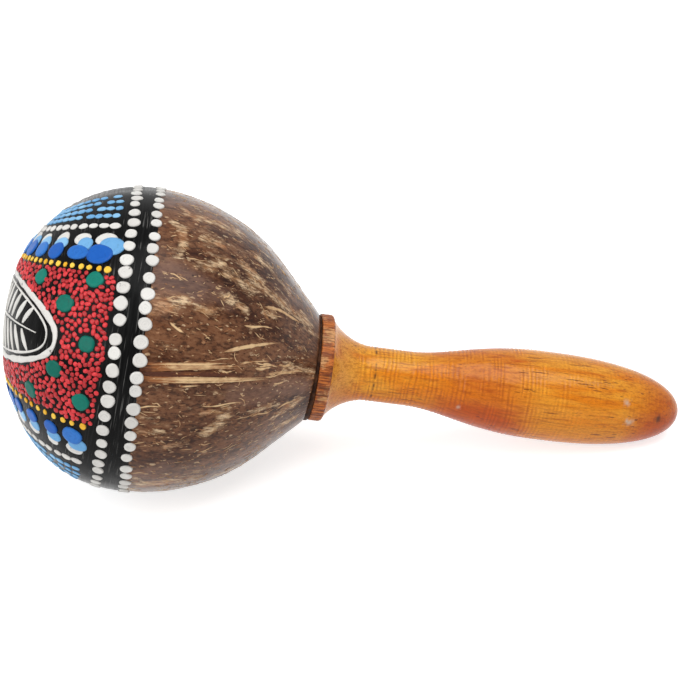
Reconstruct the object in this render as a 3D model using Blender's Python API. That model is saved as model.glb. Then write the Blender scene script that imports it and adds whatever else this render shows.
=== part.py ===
"""Coconut shell shaker, lying on the ground the way it is put down.

Units are metres and +Z is up. The handle points along +X and the crown of the
shell along -X. The shaker touches the ground at the belly of the shell and near
the butt of the handle, so its axis slopes down towards the butt. The origin is
on the ground, under the middle of the shaker.
"""
import math

import bmesh
import bpy
from mathutils import Vector
from mathutils.geometry import interpolate_bezier

# Shell: a whole nut with its tip sawn off square
SHELL_DIAMETER = 0.0994
CROWN_HEIGHT = 0.0438            # widest girth to crown
CROWN_FULLNESS = 2.1             # exponent of the crown's outline, where 2 is an ellipse
BELLY_ARC_RADIUS = 0.063         # outline from the girth towards the handle
SHOULDER_ANGLE = math.radians(45)  # slope at which the belly arc turns into a cone
SHELL_WALL = 0.0040
SAWN_END_DIAMETER = 0.0372
CROWN_RISE = 0.0040              # how far the nut grew crooked, measured at the crown
SHELL_LEAN = math.radians(2.2)   # crown raised out of the handle's line
SAWN_END_DROP = 0.0006           # centre of the sawn end below the handle's line
RIDGE_HEIGHT = 0.0007
RIDGE_HALF_WIDTH = math.radians(7)
RIDGE_ANGLES = [math.radians(angle) for angle in (18, 118, 222)]  # from -Y over the top

# Handle: one turning, its stations measured from the face of the collar
TENON_DIAMETER = 0.0254
TENON_LENGTH = 0.0160
TENON_CHAMFER = 0.0015
COLLAR_DIAMETER = 0.0359
COLLAR_WIDTH = 0.0044
COLLAR_FRONT_ROUND = 0.0004
COLLAR_BACK_ROUND = 0.0010
NECK_DIAMETER = 0.0184
NECK_START = 0.0185
NECK_LENGTH = 0.0125
GRIP_DIAMETER = 0.0303
GRIP_START = 0.0780               # where the swell reaches its full thickness
GRIP_LENGTH = 0.0040             # how long it keeps it
HANDLE_LENGTH = 0.1266

# Reach of the curves that join those stations, as shares of the stretch they cross
FLARE_FALL = 0.45                # how far the flare falls before it bends towards the neck
FLARE_DRIFT = 0.14               # how far it drifts along the handle meanwhile
FLARE_RUN_OUT = 0.43
SWELL_RUN_IN = 0.30
SWELL_RUN_OUT = 0.51
BUTT_RUN_IN = 0.63
BUTT_FULLNESS = 0.61

# Glue bead: a wedge, because the shell leans and the collar doesn't
GLUE_THINNEST = 0.0004
GLUE_INSET = 0.0006              # how far it stays back from the rim of the collar
GLUE_BULGE = 0.0003

# Seeds: one layer on the floor of the chamber
SEED_DIAMETER = 0.0065
SEED_SPACING = 0.0005
SEED_WALL_GAP = 0.00045          # to the true curve, which the facets of the wall cut short
SEED_ROWS = (4, 5, 6, 5, 4)

FIT_GAP = 0.0003                 # left between pieces that touch

# Facets
SHELL_SEGMENTS = 72
CAVITY_SEGMENTS = 48
HANDLE_SEGMENTS = 40
SEED_SEGMENTS = 12
SEED_RINGS = 8
CROWN_STEPS = 9
BELLY_STEPS = 8
CONE_STEPS = 3
CURVE_STEPS = 10
ROUND_STEPS = 3
MERGE_DISTANCE = 1e-6
SHARP_ANGLE = math.radians(35)   # edges sharper than this stay crisp

# Colours, as linear red, green, blue
SHELL_BROWN = (0.130, 0.070, 0.042)
HANDLE_ORANGE = (0.560, 0.200, 0.035)
GLUE_BROWN = (0.035, 0.018, 0.010)
SEED_BROWN = (0.180, 0.085, 0.040)

# Sizes that follow from the ones above
SHELL_RADIUS = SHELL_DIAMETER / 2
SEED_RADIUS = SEED_DIAMETER / 2
BORE_RADIUS = TENON_DIAMETER / 2 + FIT_GAP
BELLY_ARC_CENTRE = SHELL_RADIUS - BELLY_ARC_RADIUS
NECK_END = NECK_START + NECK_LENGTH
GRIP_END = GRIP_START + GRIP_LENGTH
GLUE_RADIUS = min(COLLAR_DIAMETER, SAWN_END_DIAMETER) / 2 - GLUE_INSET
GLUE_GAP = GLUE_THINNEST + 2 * FIT_GAP + GLUE_RADIUS * math.tan(SHELL_LEAN)


def crown_outline(height, radius):
    """Outline from the crown to the girth, as (station, radius) with the girth at 0."""
    power = 2 / CROWN_FULLNESS
    points = []
    for step in range(CROWN_STEPS):
        angle = math.pi / 2 * step / CROWN_STEPS
        points.append((-height * math.cos(angle) ** power, radius * math.sin(angle) ** power))
    return points


def belly_outline(arc_radius, end_angle):
    """Outline from the girth along the belly arc, up to the given slope."""
    points = []
    for step in range(BELLY_STEPS + 1):
        angle = end_angle * step / BELLY_STEPS
        points.append((arc_radius * math.sin(angle), BELLY_ARC_CENTRE + arc_radius * math.cos(angle)))
    return points


def girth_to_sawn_end():
    """Distance from the girth to the sawn end of the shell."""
    station, radius = belly_outline(BELLY_ARC_RADIUS, SHOULDER_ANGLE)[-1]
    return station + (radius - SAWN_END_DIAMETER / 2) / math.tan(SHOULDER_ANGLE)


def from_sawn_end(outline):
    """Move an outline measured from the girth so that it is measured from the sawn end."""
    offset = girth_to_sawn_end()
    return [(station - offset, radius) for station, radius in outline]


def shell_outline():
    """Outer outline of the shell, from the crown to the edge of the sawn end."""
    outline = crown_outline(CROWN_HEIGHT, SHELL_RADIUS)
    outline += belly_outline(BELLY_ARC_RADIUS, SHOULDER_ANGLE)
    cone_start = Vector(outline[-1])
    cone_end = Vector((girth_to_sawn_end(), SAWN_END_DIAMETER / 2))
    for step in range(CONE_STEPS):
        outline.append(tuple(cone_start.lerp(cone_end, (step + 1) / CONE_STEPS)))
    return from_sawn_end(outline)


def cavity_outline():
    """Outline of the chamber, whose wall thickens towards the sawn end as in a real nut."""
    arc_radius = BELLY_ARC_RADIUS - SHELL_WALL
    end_radius = BORE_RADIUS - SHELL_WALL
    end_angle = math.acos((end_radius - BELLY_ARC_CENTRE) / arc_radius)
    outline = crown_outline(CROWN_HEIGHT - SHELL_WALL, SHELL_RADIUS - SHELL_WALL)
    outline += belly_outline(arc_radius, end_angle)
    return from_sawn_end(outline)


def joining_curve(start, start_pull, end_pull, end):
    """Smooth curve between two points of an outline, without its first point."""
    corners = [Vector((station, radius, 0)) for station, radius in (start, start_pull, end_pull, end)]
    return [(point.x, point.y) for point in interpolate_bezier(*corners, CURVE_STEPS + 1)[1:]]


def rounded_corner(station, radius, size, first_angle):
    """Quarter round about a centre, turning from first_angle towards the butt."""
    points = []
    for step in range(ROUND_STEPS + 1):
        angle = first_angle - math.pi / 2 * step / ROUND_STEPS
        points.append((station + size * math.cos(angle), radius + size * math.sin(angle)))
    return points


def handle_outline():
    """Outline of the turned handle, from the end of the tenon to the butt."""
    tenon = TENON_DIAMETER / 2
    collar = COLLAR_DIAMETER / 2
    neck = NECK_DIAMETER / 2
    grip = GRIP_DIAMETER / 2
    outline = [(-TENON_LENGTH, tenon - TENON_CHAMFER), (TENON_CHAMFER - TENON_LENGTH, tenon), (0, tenon)]
    outline += rounded_corner(COLLAR_FRONT_ROUND, collar - COLLAR_FRONT_ROUND, COLLAR_FRONT_ROUND, math.pi)
    back_centre = COLLAR_WIDTH - COLLAR_BACK_ROUND
    outline += rounded_corner(back_centre, collar - COLLAR_BACK_ROUND, COLLAR_BACK_ROUND, math.pi / 2)

    flare_start = outline[-1]
    flare_run = NECK_START - COLLAR_WIDTH
    fallen = flare_start[1] - FLARE_FALL * (flare_start[1] - neck)
    outline += joining_curve(flare_start,
                             (COLLAR_WIDTH + FLARE_DRIFT * flare_run, fallen),
                             (NECK_START - FLARE_RUN_OUT * flare_run, neck),
                             (NECK_START, neck))
    swell_run = GRIP_START - NECK_END
    outline.append((NECK_END, neck))
    outline += joining_curve((NECK_END, neck),
                             (NECK_END + SWELL_RUN_IN * swell_run, neck),
                             (GRIP_START - SWELL_RUN_OUT * swell_run, grip),
                             (GRIP_START, grip))
    butt_run = HANDLE_LENGTH - GRIP_END
    outline.append((GRIP_END, grip))
    outline += joining_curve((GRIP_END, grip),
                             (GRIP_END + BUTT_RUN_IN * butt_run, grip),
                             (HANDLE_LENGTH, BUTT_FULLNESS * grip),
                             (HANDLE_LENGTH, 0))
    return outline


def crooked(station):
    """Rise of the nut's centre line, from none at the girth to all of it at the crown."""
    to_crown = max(0.0, -station - girth_to_sawn_end()) / CROWN_HEIGHT
    return CROWN_RISE * to_crown ** 3


def leaning(station, height):
    """Take a point in the shell's own upright section to the handle's section."""
    return (station * math.cos(SHELL_LEAN) + height * math.sin(SHELL_LEAN) - GLUE_GAP,
            height * math.cos(SHELL_LEAN) - station * math.sin(SHELL_LEAN) - SAWN_END_DROP)


def sloping(point, slope):
    """Turn a point in the handle's upright section so that the handle slopes down."""
    station, height = point
    return (station * math.cos(slope) + height * math.sin(slope),
            height * math.cos(slope) - station * math.sin(slope))


def resting_place():
    """Slope at which shell and handle both touch the ground, and the place of the collar's face."""
    shell = [leaning(station, crooked(station) + side * radius)
             for station, radius in shell_outline() for side in (-1, 1)]
    handle = [(station, side * radius) for station, radius in handle_outline() for side in (-1, 1)]

    def lowest(section, slope):
        return min(sloping(point, slope)[1] for point in section)

    low, high = 0.0, math.pi / 4
    for _ in range(50):
        slope = (low + high) / 2
        if lowest(shell, slope) < lowest(handle, slope):
            low = slope
        else:
            high = slope
    along = [sloping(point, slope)[0] for point in shell + handle]
    return slope, Vector((-(min(along) + max(along)) / 2, 0, -lowest(shell, slope)))


def clear_scene():
    for scene_object in list(bpy.data.objects):
        bpy.data.objects.remove(scene_object)


def make_material(name, colour, roughness):
    material = bpy.data.materials.new(name)
    material.use_nodes = True
    shader = material.node_tree.nodes["Principled BSDF"]
    shader.inputs["Base Color"].default_value = (*colour, 1)
    shader.inputs["Roughness"].default_value = roughness
    shader.inputs["Metallic"].default_value = 0.0
    return material


def make_empty(name, parent, location, slope):
    """Empty that carries pieces, turned about the level axis across the handle."""
    empty = bpy.data.objects.new(name, None)
    bpy.context.collection.objects.link(empty)
    empty.parent = parent
    empty.location = location
    empty.rotation_euler = (0, slope, 0)
    return empty


def make_object(name, mesh, parent, material=None):
    piece = bpy.data.objects.new(name, mesh)
    bpy.context.collection.objects.link(piece)
    piece.parent = parent
    if material:
        mesh.materials.append(material)
    else:
        piece.hide_render = True
        piece.display_type = "WIRE"
    return piece


def turned_mesh(name, section, segments):
    """Turn a section of (station, radius) points about the X axis. Its two ends lie on the axis
    or meet each other, so that the turning is closed."""
    shape = bmesh.new()
    points = [shape.verts.new((station, 0, -radius)) for station, radius in section]
    edges = [shape.edges.new(pair) for pair in zip(points, points[1:])]
    bmesh.ops.spin(shape, geom=points + edges, cent=(0, 0, 0), axis=(1, 0, 0),
                   angle=2 * math.pi, steps=segments, use_merge=True)
    bmesh.ops.remove_doubles(shape, verts=shape.verts, dist=MERGE_DISTANCE)
    bmesh.ops.recalc_face_normals(shape, faces=shape.faces)
    mesh = bpy.data.meshes.new(name)
    shape.to_mesh(mesh)
    shape.free()
    mesh.shade_smooth()
    mesh.set_sharp_from_angle(angle=SHARP_ANGLE)
    return mesh


def closed_on_axis(outline):
    """Section of a solid turning: the outline with its open ends run in to the axis."""
    start = [(outline[0][0], 0)] if outline[0][1] > 0 else []
    end = [(outline[-1][0], 0)] if outline[-1][1] > 0 else []
    return start + outline + end


def ridge_rise(angle, radius):
    """Height of the nut's seams over the turned form, fading out towards both ends."""
    rise = 0.0
    for ridge in RIDGE_ANGLES:
        apart = math.remainder(angle - ridge, 2 * math.pi)
        rise += math.exp(-(apart / RIDGE_HALF_WIDTH) ** 2)
    return RIDGE_HEIGHT * rise * (radius / SHELL_RADIUS) ** 2


def raise_ridges(mesh):
    for vertex in mesh.vertices:
        radius = math.hypot(vertex.co.y, vertex.co.z)
        if radius > 0:
            angle = math.atan2(vertex.co.z, -vertex.co.y)
            stretch = 1 + ridge_rise(angle, radius) / radius
            vertex.co.y *= stretch
            vertex.co.z *= stretch


def grow_crooked(mesh):
    for vertex in mesh.vertices:
        vertex.co.z += crooked(vertex.co.x)


def cut_away(piece, cutter):
    cut = piece.modifiers.new("cut_" + cutter.name, "BOOLEAN")
    cut.operation = "DIFFERENCE"
    cut.solver = "EXACT"
    cut.object = cutter


def build_shell(shell_frame, handle_frame):
    """Hollow nut: the chamber and the bore for the tenon are cut out of the whole nut."""
    material = make_material("coconut_brown", SHELL_BROWN, 0.55)
    mesh = turned_mesh("coconut_shell", closed_on_axis(shell_outline()), SHELL_SEGMENTS)
    raise_ridges(mesh)
    grow_crooked(mesh)
    shell = make_object("coconut_shell", mesh, shell_frame, material)

    chamber_mesh = turned_mesh("chamber_cutter", closed_on_axis(cavity_outline()), CAVITY_SEGMENTS)
    grow_crooked(chamber_mesh)
    chamber = make_object("chamber_cutter", chamber_mesh, shell_frame)
    cut_away(shell, chamber)

    bore_outline = [(-TENON_LENGTH, BORE_RADIUS), (COLLAR_WIDTH, BORE_RADIUS)]
    bore_mesh = turned_mesh("bore_cutter", closed_on_axis(bore_outline), HANDLE_SEGMENTS)
    bore = make_object("bore_cutter", bore_mesh, handle_frame)
    cut_away(shell, bore)


def build_handle(handle_frame):
    material = make_material("varnished_wood", HANDLE_ORANGE, 0.30)
    mesh = turned_mesh("handle", closed_on_axis(handle_outline()), HANDLE_SEGMENTS)
    make_object("handle", mesh, handle_frame, material)


def build_glue_bead(handle_frame):
    """Ring between the collar's face and the sawn end, following the lean of the shell."""
    material = make_material("dark_glue", GLUE_BROWN, 0.45)
    back = -FIT_GAP
    front = FIT_GAP - GLUE_GAP
    middle = (front + back) / 2
    section = [(back, BORE_RADIUS), (front, BORE_RADIUS), (front, GLUE_RADIUS),
               (middle, GLUE_RADIUS + GLUE_BULGE), (back, GLUE_RADIUS), (back, BORE_RADIUS)]
    mesh = turned_mesh("glue_bead", section, HANDLE_SEGMENTS)
    for vertex in mesh.vertices:
        share = (vertex.co.x - back) / (front - back)
        vertex.co.x += share * (vertex.co.z + SAWN_END_DROP) * math.tan(SHELL_LEAN)
    make_object("glue_bead", mesh, handle_frame, material)


def seed_places(slope):
    """Centres of the seeds in the shell's frame, in staggered rows about the lowest point."""
    seat_radius = BELLY_ARC_RADIUS - SHELL_WALL - SEED_RADIUS - SEED_WALL_GAP
    pitch = SEED_DIAMETER + SEED_SPACING
    column_angle = pitch / seat_radius
    lowest = slope + SHELL_LEAN
    widest = lowest + column_angle * (max(SEED_ROWS) - 1) / 2
    narrowest_radius = BELLY_ARC_CENTRE + seat_radius * math.cos(widest)
    row_angle = pitch * math.sin(math.pi / 3) / narrowest_radius
    places = []
    for row, count in enumerate(SEED_ROWS):
        round_axis = (row - (len(SEED_ROWS) - 1) / 2) * row_angle
        for column in range(count):
            along = lowest + (column - (count - 1) / 2) * column_angle
            radius = BELLY_ARC_CENTRE + seat_radius * math.cos(along)
            station = seat_radius * math.sin(along) - girth_to_sawn_end()
            places.append((station, radius * math.sin(round_axis), -radius * math.cos(round_axis)))
    return places


def build_seeds(shell_frame, slope):
    material = make_material("dry_seed", SEED_BROWN, 0.40)
    shape = bmesh.new()
    bmesh.ops.create_uvsphere(shape, u_segments=SEED_SEGMENTS, v_segments=SEED_RINGS, radius=SEED_RADIUS)
    mesh = bpy.data.meshes.new("rattle_seed")
    shape.to_mesh(mesh)
    shape.free()
    mesh.shade_smooth()
    mesh.materials.append(material)
    for number, place in enumerate(seed_places(slope), start=1):
        seed = bpy.data.objects.new(f"rattle_seed_{number:02d}", mesh)
        bpy.context.collection.objects.link(seed)
        seed.parent = shell_frame
        seed.location = place


def main():
    clear_scene()
    slope, collar_place = resting_place()
    handle_frame = make_empty("handle_frame", None, collar_place, slope)
    shell_frame = make_empty("shell_frame", handle_frame, (-GLUE_GAP, 0, -SAWN_END_DROP), SHELL_LEAN)
    build_handle(handle_frame)
    build_shell(shell_frame, handle_frame)
    build_glue_bead(handle_frame)
    build_seeds(shell_frame, slope)


main()
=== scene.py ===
"""Looks of the coconut shell shaker: fine surfaces, paint, materials, floor, lights and camera.

Units are metres. The shell and its paint are made in a frame whose X axis runs from the crown to the
handle and whose origin is the middle of the widest girth. The handle and the glue are made in a frame
whose X axis is the axis of the turning and whose origin is on the face of the collar. Angles round both
axes start at the side that faces the camera and go up over the top.
"""
import math
import random

import bmesh
import bpy
import numpy as np
from mathutils import Matrix, Vector, noise


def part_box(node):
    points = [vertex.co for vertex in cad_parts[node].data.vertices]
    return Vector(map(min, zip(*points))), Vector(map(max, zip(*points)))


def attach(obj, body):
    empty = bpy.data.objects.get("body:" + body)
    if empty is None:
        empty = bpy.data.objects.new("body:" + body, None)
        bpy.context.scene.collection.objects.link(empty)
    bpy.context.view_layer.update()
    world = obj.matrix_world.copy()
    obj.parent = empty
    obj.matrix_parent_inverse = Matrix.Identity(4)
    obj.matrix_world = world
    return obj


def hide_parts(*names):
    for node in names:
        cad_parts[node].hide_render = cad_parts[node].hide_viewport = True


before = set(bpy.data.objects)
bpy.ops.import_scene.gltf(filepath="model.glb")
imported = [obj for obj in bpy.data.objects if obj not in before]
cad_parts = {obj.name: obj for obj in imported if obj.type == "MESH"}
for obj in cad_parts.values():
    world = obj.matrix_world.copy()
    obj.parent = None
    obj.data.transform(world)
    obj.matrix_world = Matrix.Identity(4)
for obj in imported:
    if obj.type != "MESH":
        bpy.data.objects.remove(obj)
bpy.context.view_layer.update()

MM = 0.001

# Sizes of the shell, as its solid has them
SHELL_RADIUS = 0.0497
CROWN_HEIGHT = 0.0438
CROWN_FULLNESS = 2.1
BELLY_ARC_RADIUS = 0.063
SHOULDER_ANGLE = math.radians(45)
SHELL_WALL = 0.0040
SAWN_END_RADIUS = 0.0186
CROWN_RISE = 0.0040
SHELL_LEAN = math.radians(2.2)
SAWN_END_DROP = 0.0006
RIDGE_HEIGHT = 0.0007
RIDGE_HALF_WIDTH = math.radians(7)
RIDGE_ANGLES = [math.radians(angle) for angle in (18, 118, 222)]

# Sizes of the handle, as its solid has them
TENON_RADIUS = 0.0127
TENON_LENGTH = 0.0160
TENON_CHAMFER = 0.0015
COLLAR_RADIUS = 0.01795
COLLAR_WIDTH = 0.0044
COLLAR_FRONT_ROUND = 0.0004
COLLAR_BACK_ROUND = 0.0010
NECK_RADIUS = 0.0092
NECK_START = 0.0185
NECK_END = 0.0310
GRIP_RADIUS = 0.01515
GRIP_START = 0.0780
GRIP_END = 0.0820
HANDLE_LENGTH = 0.1266
FIT_GAP = 0.0003
GLUE_THINNEST = 0.0004
GLUE_INSET = 0.0006
GLUE_SQUEEZE = 0.0003            # how far the real bead stands out beyond its solid
GLUE_SAG = 0.0005
GLUE_WAVER = 0.0005

# Where the collar's face lies and how far the handle slopes down, with the shaker at rest
COLLAR_FACE = (-0.0115064, 0, 0.0358522)
HANDLE_SLOPE = math.radians(12.44304)

# Paint on the crown, where forward is the middle line of the red field, seen along the shell's axis
FIELD_ANGLE = math.radians(23.5)
COAT_THICKNESS = 0.00014
PAINT_SKIRT = -0.00006           # how far painted marks reach below the bare shell
PAINT_REACH = 0.0482             # how far from the axis the marks on the crown go
RIGHT_RING = (0.0009, 0.0022)    # station of a ring of dots, and how far it tilts out of the girth
LEFT_RING = (-0.0073, 0.0011)
RING_DOTS = 61
COAT_EDGE = 0.0005               # from the right ring's middle
COAT_WAVER = 0.0005
COAT_FEATHER = (-0.0001, 0.0006)  # from the edge, where the coat starts and where it is nearly full
COAT_SINK = -0.0004              # how far the cap's back lies in the shell
RING_DOT_SIZE = 0.0022
YELLOW_ROW = 0.0244              # distance of each row from the field's middle line, out at the rings
BLUE_ROW = 0.0287
LIGHT_BLUE_ROW = 0.0314
LARGE_WHITE_ROW = 0.0332
WHITE_ROW = 0.0374
DASH_ROWS = ((0.0405, 4), (0.0427, 3), (0.0446, 2), (0.0461, 1))    # with the number of dabs before a gap
FAR_ROW = 0.0476
DASH_PITCH = 0.0029
DASH_GAP = 0.0016
DASH_CLEARANCE = 0.0025          # from the middle of the crown
YELLOW_PITCH = {1: 0.0030, -1: 0.0034}
LARGE_DOT_SIZE = {1: 1.0 * MM, -1: 0.82 * MM}
LARGE_DOT_PITCH = 0.0086
PINCH = {1: 0.23, -1: 0.14}      # how far the rows close in at the crown, above and below the field
MEDALLION_LENGTH = 0.041
MEDALLION_WIDTH = 0.0132
MEDALLION_FULLNESS = 2.3
STIPPLE_SPACING = 0.0014
STIPPLE_TRIES = 60000
FIELD_END = -0.011               # station up to which the red dabs go
ROW_CLEARANCE = 0.0017           # from red dabs to a yellow row, the medallion and a green dot
MEDALLION_CLEARANCE = 0.0015
GREEN_CLEARANCE = 0.0032
GREEN_DOTS = ((29.2, 16.5), (41.5, 20.6), (40.3, 11.5), (46.6, 1.5), (40.9, -8.6), (31.5, -18.0),
              (44.0, -16.5))

# Marks of use on the handle: station in millimetres, angle in degrees, size in millimetres
KNOT = (117.2, 13, 1.1)
SCUFFS = ((48.6, -9, 0.5), (104.5, 35, 0.8), (106.9, 6, 1.0), (105.6, 9, 0.6))
SCORED_RING = (19.6, 0.30)       # station and half width in millimetres
GROOVES = 112
GROOVE_DEPTH = 0.0002
RIM_WEAR = 0.00016

# Zones of the bare shell, each a line between two stations and two angles, in millimetres and degrees,
# with a half width. Pale ones hold what is left of the husk, smooth ones were sanded best and carry a
# greyish painted sheen of the varnish
PALE_ZONES = ((5.5, 11, 93, 87, 1.5), (8.5, 25, 87, 91, 3.0), (4, 8, 80, 74, 1.9), (8, 7, 74, 65, 1.9),
              (14, 20, 76, 75, 1.8), (16, 21, 62, 68, 2.1), (22.5, 31, 63, 61, 2.1), (29, 36, 71, 64, 3.1),
              (31, 44.5, 83, 77, 1.9), (36, 53, 64, 63, 1.9), (22, 29, 53, 51, 1.8),
              (4, 11.5, 44, 46.5, 2.4), (14.5, 20, 45, 43.5, 2.1), (36, 39.5, 53, 52, 1.4),
              (49.5, 53.5, 70, 64, 2.4), (21.5, 29.5, 5, 8, 1.4), (23.5, 29.5, -4, 3, 2.2),
              (13.5, 18.5, -10, -7.5, 1.8), (4, 10.5, -4, -3, 1.8), (37.5, 45.5, 4, 5, 1.8),
              (45.5, 52.5, -4, 1, 1.8), (46.5, 54, -16, -18, 1.5), (46, 56, 30, 25, 2.2))
SMOOTH_SHEEN_ZONES = ((5, 15.5, 54.5, 52, 5), (17, 24, 54, 51, 3.5), (2, 14, 93, 103, 3),
                (30, 40.5, 14, 11.5, 3.5), (43, 53, 16.5, 14, 3))
ZONE_TURNS = (0, 118, 236)       # the zones come again on the sides that the camera doesn't see
FIBRE_CONVERGENCE = 0.35         # how far the mottles narrow with the nut, where 1 is in full

# Fibres in the bare shell: start and end station in millimetres, start and end angle in degrees. Bundles
# have their angles from a seam, a number of strands and a tone, slivers have a half width in millimetres.
# The first bundle, of the lowest tone, is dark strands of painted shade between the pale bundles
SEAM_BUNDLES_AND_SHADE_LINES = ((-1, 36, 0.7, 4.9, 4, -1.2), (-1, 34, 3.1, 8.0, 8, 0.3), (-1, 43, -0.9, 3.2, 7, 0.3),
                (11, 21, -1.9, -1.1, 1, 0.5), (10, 15, 2.2, 2.9, 1, 0.4), (25, 31, 4.6, 5.4, 2, 0.4))
SLIVERS = ((24.5, 43, 30.2, 41.2, 0.5), (1.5, 9, 6.2, 7.9, 0.22), (21, 34, 8.3, 10, 0.24),
           (7, 12, 38, 35, 0.3), (30, 40, 43, 47, 0.3), (36, 50, 56, 62, 0.45))
SEAM_ENDS = 14                   # short ends of fibre by each seam
LOOSE_SLIVERS = 80
CURLS = 45
CHIPS = 1900

# Camera, as distances in metres and pixels of a square image
IMAGE_SIZE = 680
FOCAL_PIXELS = 1649
CAMERA_TARGET = Vector((-0.0023, 0.0022, 0.0442))
CAMERA_DISTANCE = 0.55
CAMERA_AZIMUTH = math.radians(-1.14)
CAMERA_ELEVATION = math.radians(30)
CAMERA_ROLL = math.radians(-2.92)

# Floor and light. The lamps have a name, an azimuth and an elevation in degrees, and a power
WHITE = (1, 1, 1, 1)
FLOOR_HALF = 6.0
FLOOR_GLOW = 0.70
ROOM_ABOVE = 0.30                # light of the room, where the white sweep behind the shaker has 1
ROOM_BEFORE = 0.45
SOFTBOXES = (("key", 50, 72, 3.8), ("fill", -50, 36, 2.9))
SOFTBOX_SIZE = 0.60
SOFTBOX_DISTANCE = 0.75

# Mesh density
OUTLINE_POINTS = 600
SHELL_SEGMENTS = 288
SHELL_STEP = 0.0007
LUMP_STEEPNESS = 0.0009
CHAMBER_RINGS = 36
COAT_RINGS = 90
COAT_BACK_RINGS = 14
HANDLE_SEGMENTS = 128
COLLAR_SEGMENTS = 384
HANDLE_STEP = 0.0002
CHATTER_HEIGHT = 0.00008
ROUNDING_POINTS = 7
GLUE_SEGMENTS = 192

# Sizes that follow
BORE_RADIUS = TENON_RADIUS + FIT_GAP
GLUE_RADIUS = min(COLLAR_RADIUS, SAWN_END_RADIUS) - GLUE_INSET
GLUE_GAP = GLUE_THINNEST + 2 * FIT_GAP + GLUE_RADIUS * math.tan(SHELL_LEAN)


def outer_outline():
    """Stations and radii of the shell's outline, from the crown to the sawn end, with the girth at 0."""
    turn = np.linspace(0, math.pi / 2, OUTLINE_POINTS)
    power = 2 / CROWN_FULLNESS
    crown = np.column_stack([-CROWN_HEIGHT * np.cos(turn) ** power, SHELL_RADIUS * np.sin(turn) ** power])
    slope = np.linspace(0, SHOULDER_ANGLE, OUTLINE_POINTS)[1:]
    belly = np.column_stack([BELLY_ARC_RADIUS * np.sin(slope),
                             SHELL_RADIUS - BELLY_ARC_RADIUS * (1 - np.cos(slope))])
    fall = belly[-1, 1] - SAWN_END_RADIUS
    sawn_edge = belly[-1] + np.array([fall / math.tan(SHOULDER_ANGLE), -fall])
    return np.vstack([crown, belly, sawn_edge])


def lengths_along(points):
    """Distance of each point from the first, measured along the line through them."""
    steps = np.linalg.norm(np.diff(points, axis=0), axis=1)
    return np.concatenate([[0], np.cumsum(steps)])


OUTLINE = outer_outline()
LENGTHS = lengths_along(OUTLINE)
BEARINGS = np.arctan2(OUTLINE[:, 1], -OUTLINE[:, 0])
TANGENTS = np.gradient(OUTLINE, LENGTHS, axis=0)
GIRTH_TO_SAWN_END = OUTLINE[-1, 0]


HANDLE_PLACE = Matrix.Translation(COLLAR_FACE) @ Matrix.Rotation(HANDLE_SLOPE, 4, "Y")
SHELL_PLACE = (HANDLE_PLACE @ Matrix.Translation((-GLUE_GAP, 0, -SAWN_END_DROP))
               @ Matrix.Rotation(SHELL_LEAN, 4, "Y") @ Matrix.Translation((-GIRTH_TO_SAWN_END, 0, 0)))


def unit(vectors):
    return vectors / np.linalg.norm(vectors, axis=-1, keepdims=True)


def smooth_step(value, low, high):
    share = np.clip((value - low) / (high - low), 0, 1)
    return share * share * (3 - 2 * share)


def window(value, start, full, last, end):
    """1 from full to last, less on both sides, and 0 before start and after end."""
    return smooth_step(value, start, full) * smooth_step(value, end, last)


def round_angles(count):
    """Angles of a full turn, in even steps."""
    return np.arange(count) * 2 * math.pi / count


def wrapped(angle):
    """The same angle, at most half a turn either way."""
    return np.remainder(angle + math.pi, 2 * math.pi) - math.pi


def signed_power(value, power):
    return np.sign(value) * np.abs(value) ** power


def round_axis(station, radius, angle):
    """Points at stations along the axis, distances from it and angles round it."""
    places = np.broadcast_arrays(station, -radius * np.cos(angle), radius * np.sin(angle))
    return np.stack(places, axis=-1)


def off_axis(points):
    return np.hypot(points[..., 1], points[..., 2])


def angle_of(points):
    return np.arctan2(points[..., 2], -points[..., 1])


def ridge_rise(angle, radius):
    """Height of the nut's seams over the turned form."""
    rise = 0
    for ridge in RIDGE_ANGLES:
        rise = rise + np.exp(-(wrapped(angle - ridge) / RIDGE_HALF_WIDTH) ** 2)
    return RIDGE_HEIGHT * rise * (radius / SHELL_RADIUS) ** 2


def turned_points(length, angle):
    """Points of the plain turned form, at lengths from the crown and angles round the axis."""
    station = np.interp(length, LENGTHS, OUTLINE[:, 0])
    radius = np.interp(length, LENGTHS, OUTLINE[:, 1])
    return round_axis(station, radius, angle)


def crossing_waves(chance, wavelengths):
    """Waves that cross in all directions: how each one runs, with its phase and its height."""
    waves = []
    for wavelength in wavelengths:
        heading = unit(np.array([chance.gauss(0, 1) for _ in range(3)]))
        phase = chance.uniform(0, 2 * math.pi)
        waves.append((*(heading * 2 * math.pi / wavelength), phase, wavelength * LUMP_STEEPNESS))
    return np.array(waves)


LUMP_WAVES = crossing_waves(random.Random(5), np.geomspace(3 * MM, 40 * MM, 36))


def surface_lumps(points):
    """Low unevenness of the nut, in metres."""
    return np.sin(points @ LUMP_WAVES[:, :3].T + LUMP_WAVES[:, 3]) @ LUMP_WAVES[:, 4]


def shell_points(length, angle, lift):
    """Points of the real shell with its lumps, its seams and its crooked crown, lifted off the surface."""
    plain = turned_points(length, angle)
    rise = lift + surface_lumps(plain) * smooth_step(LENGTHS[-1] - length, 0, 4 * MM)
    station = plain[..., 0] - rise * np.interp(length, LENGTHS, TANGENTS[:, 1])
    radius = np.interp(length, LENGTHS, OUTLINE[:, 1])
    radius = radius + ridge_rise(angle, radius) + rise * np.interp(length, LENGTHS, TANGENTS[:, 0])
    points = round_axis(station, radius, angle)
    points[..., 2] += CROWN_RISE * np.clip(-station / CROWN_HEIGHT, 0, None) ** 3
    return points


def length_under(points):
    """Lengths from the crown, of points of the plain turned form or near it."""
    return np.interp(np.arctan2(off_axis(points), -points[..., 0]), BEARINGS, LENGTHS)


def settled(points, lift):
    """Bring points of the plain turned form, or near it, onto the real shell at a height above it."""
    return shell_points(length_under(points), angle_of(points), lift)


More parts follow.
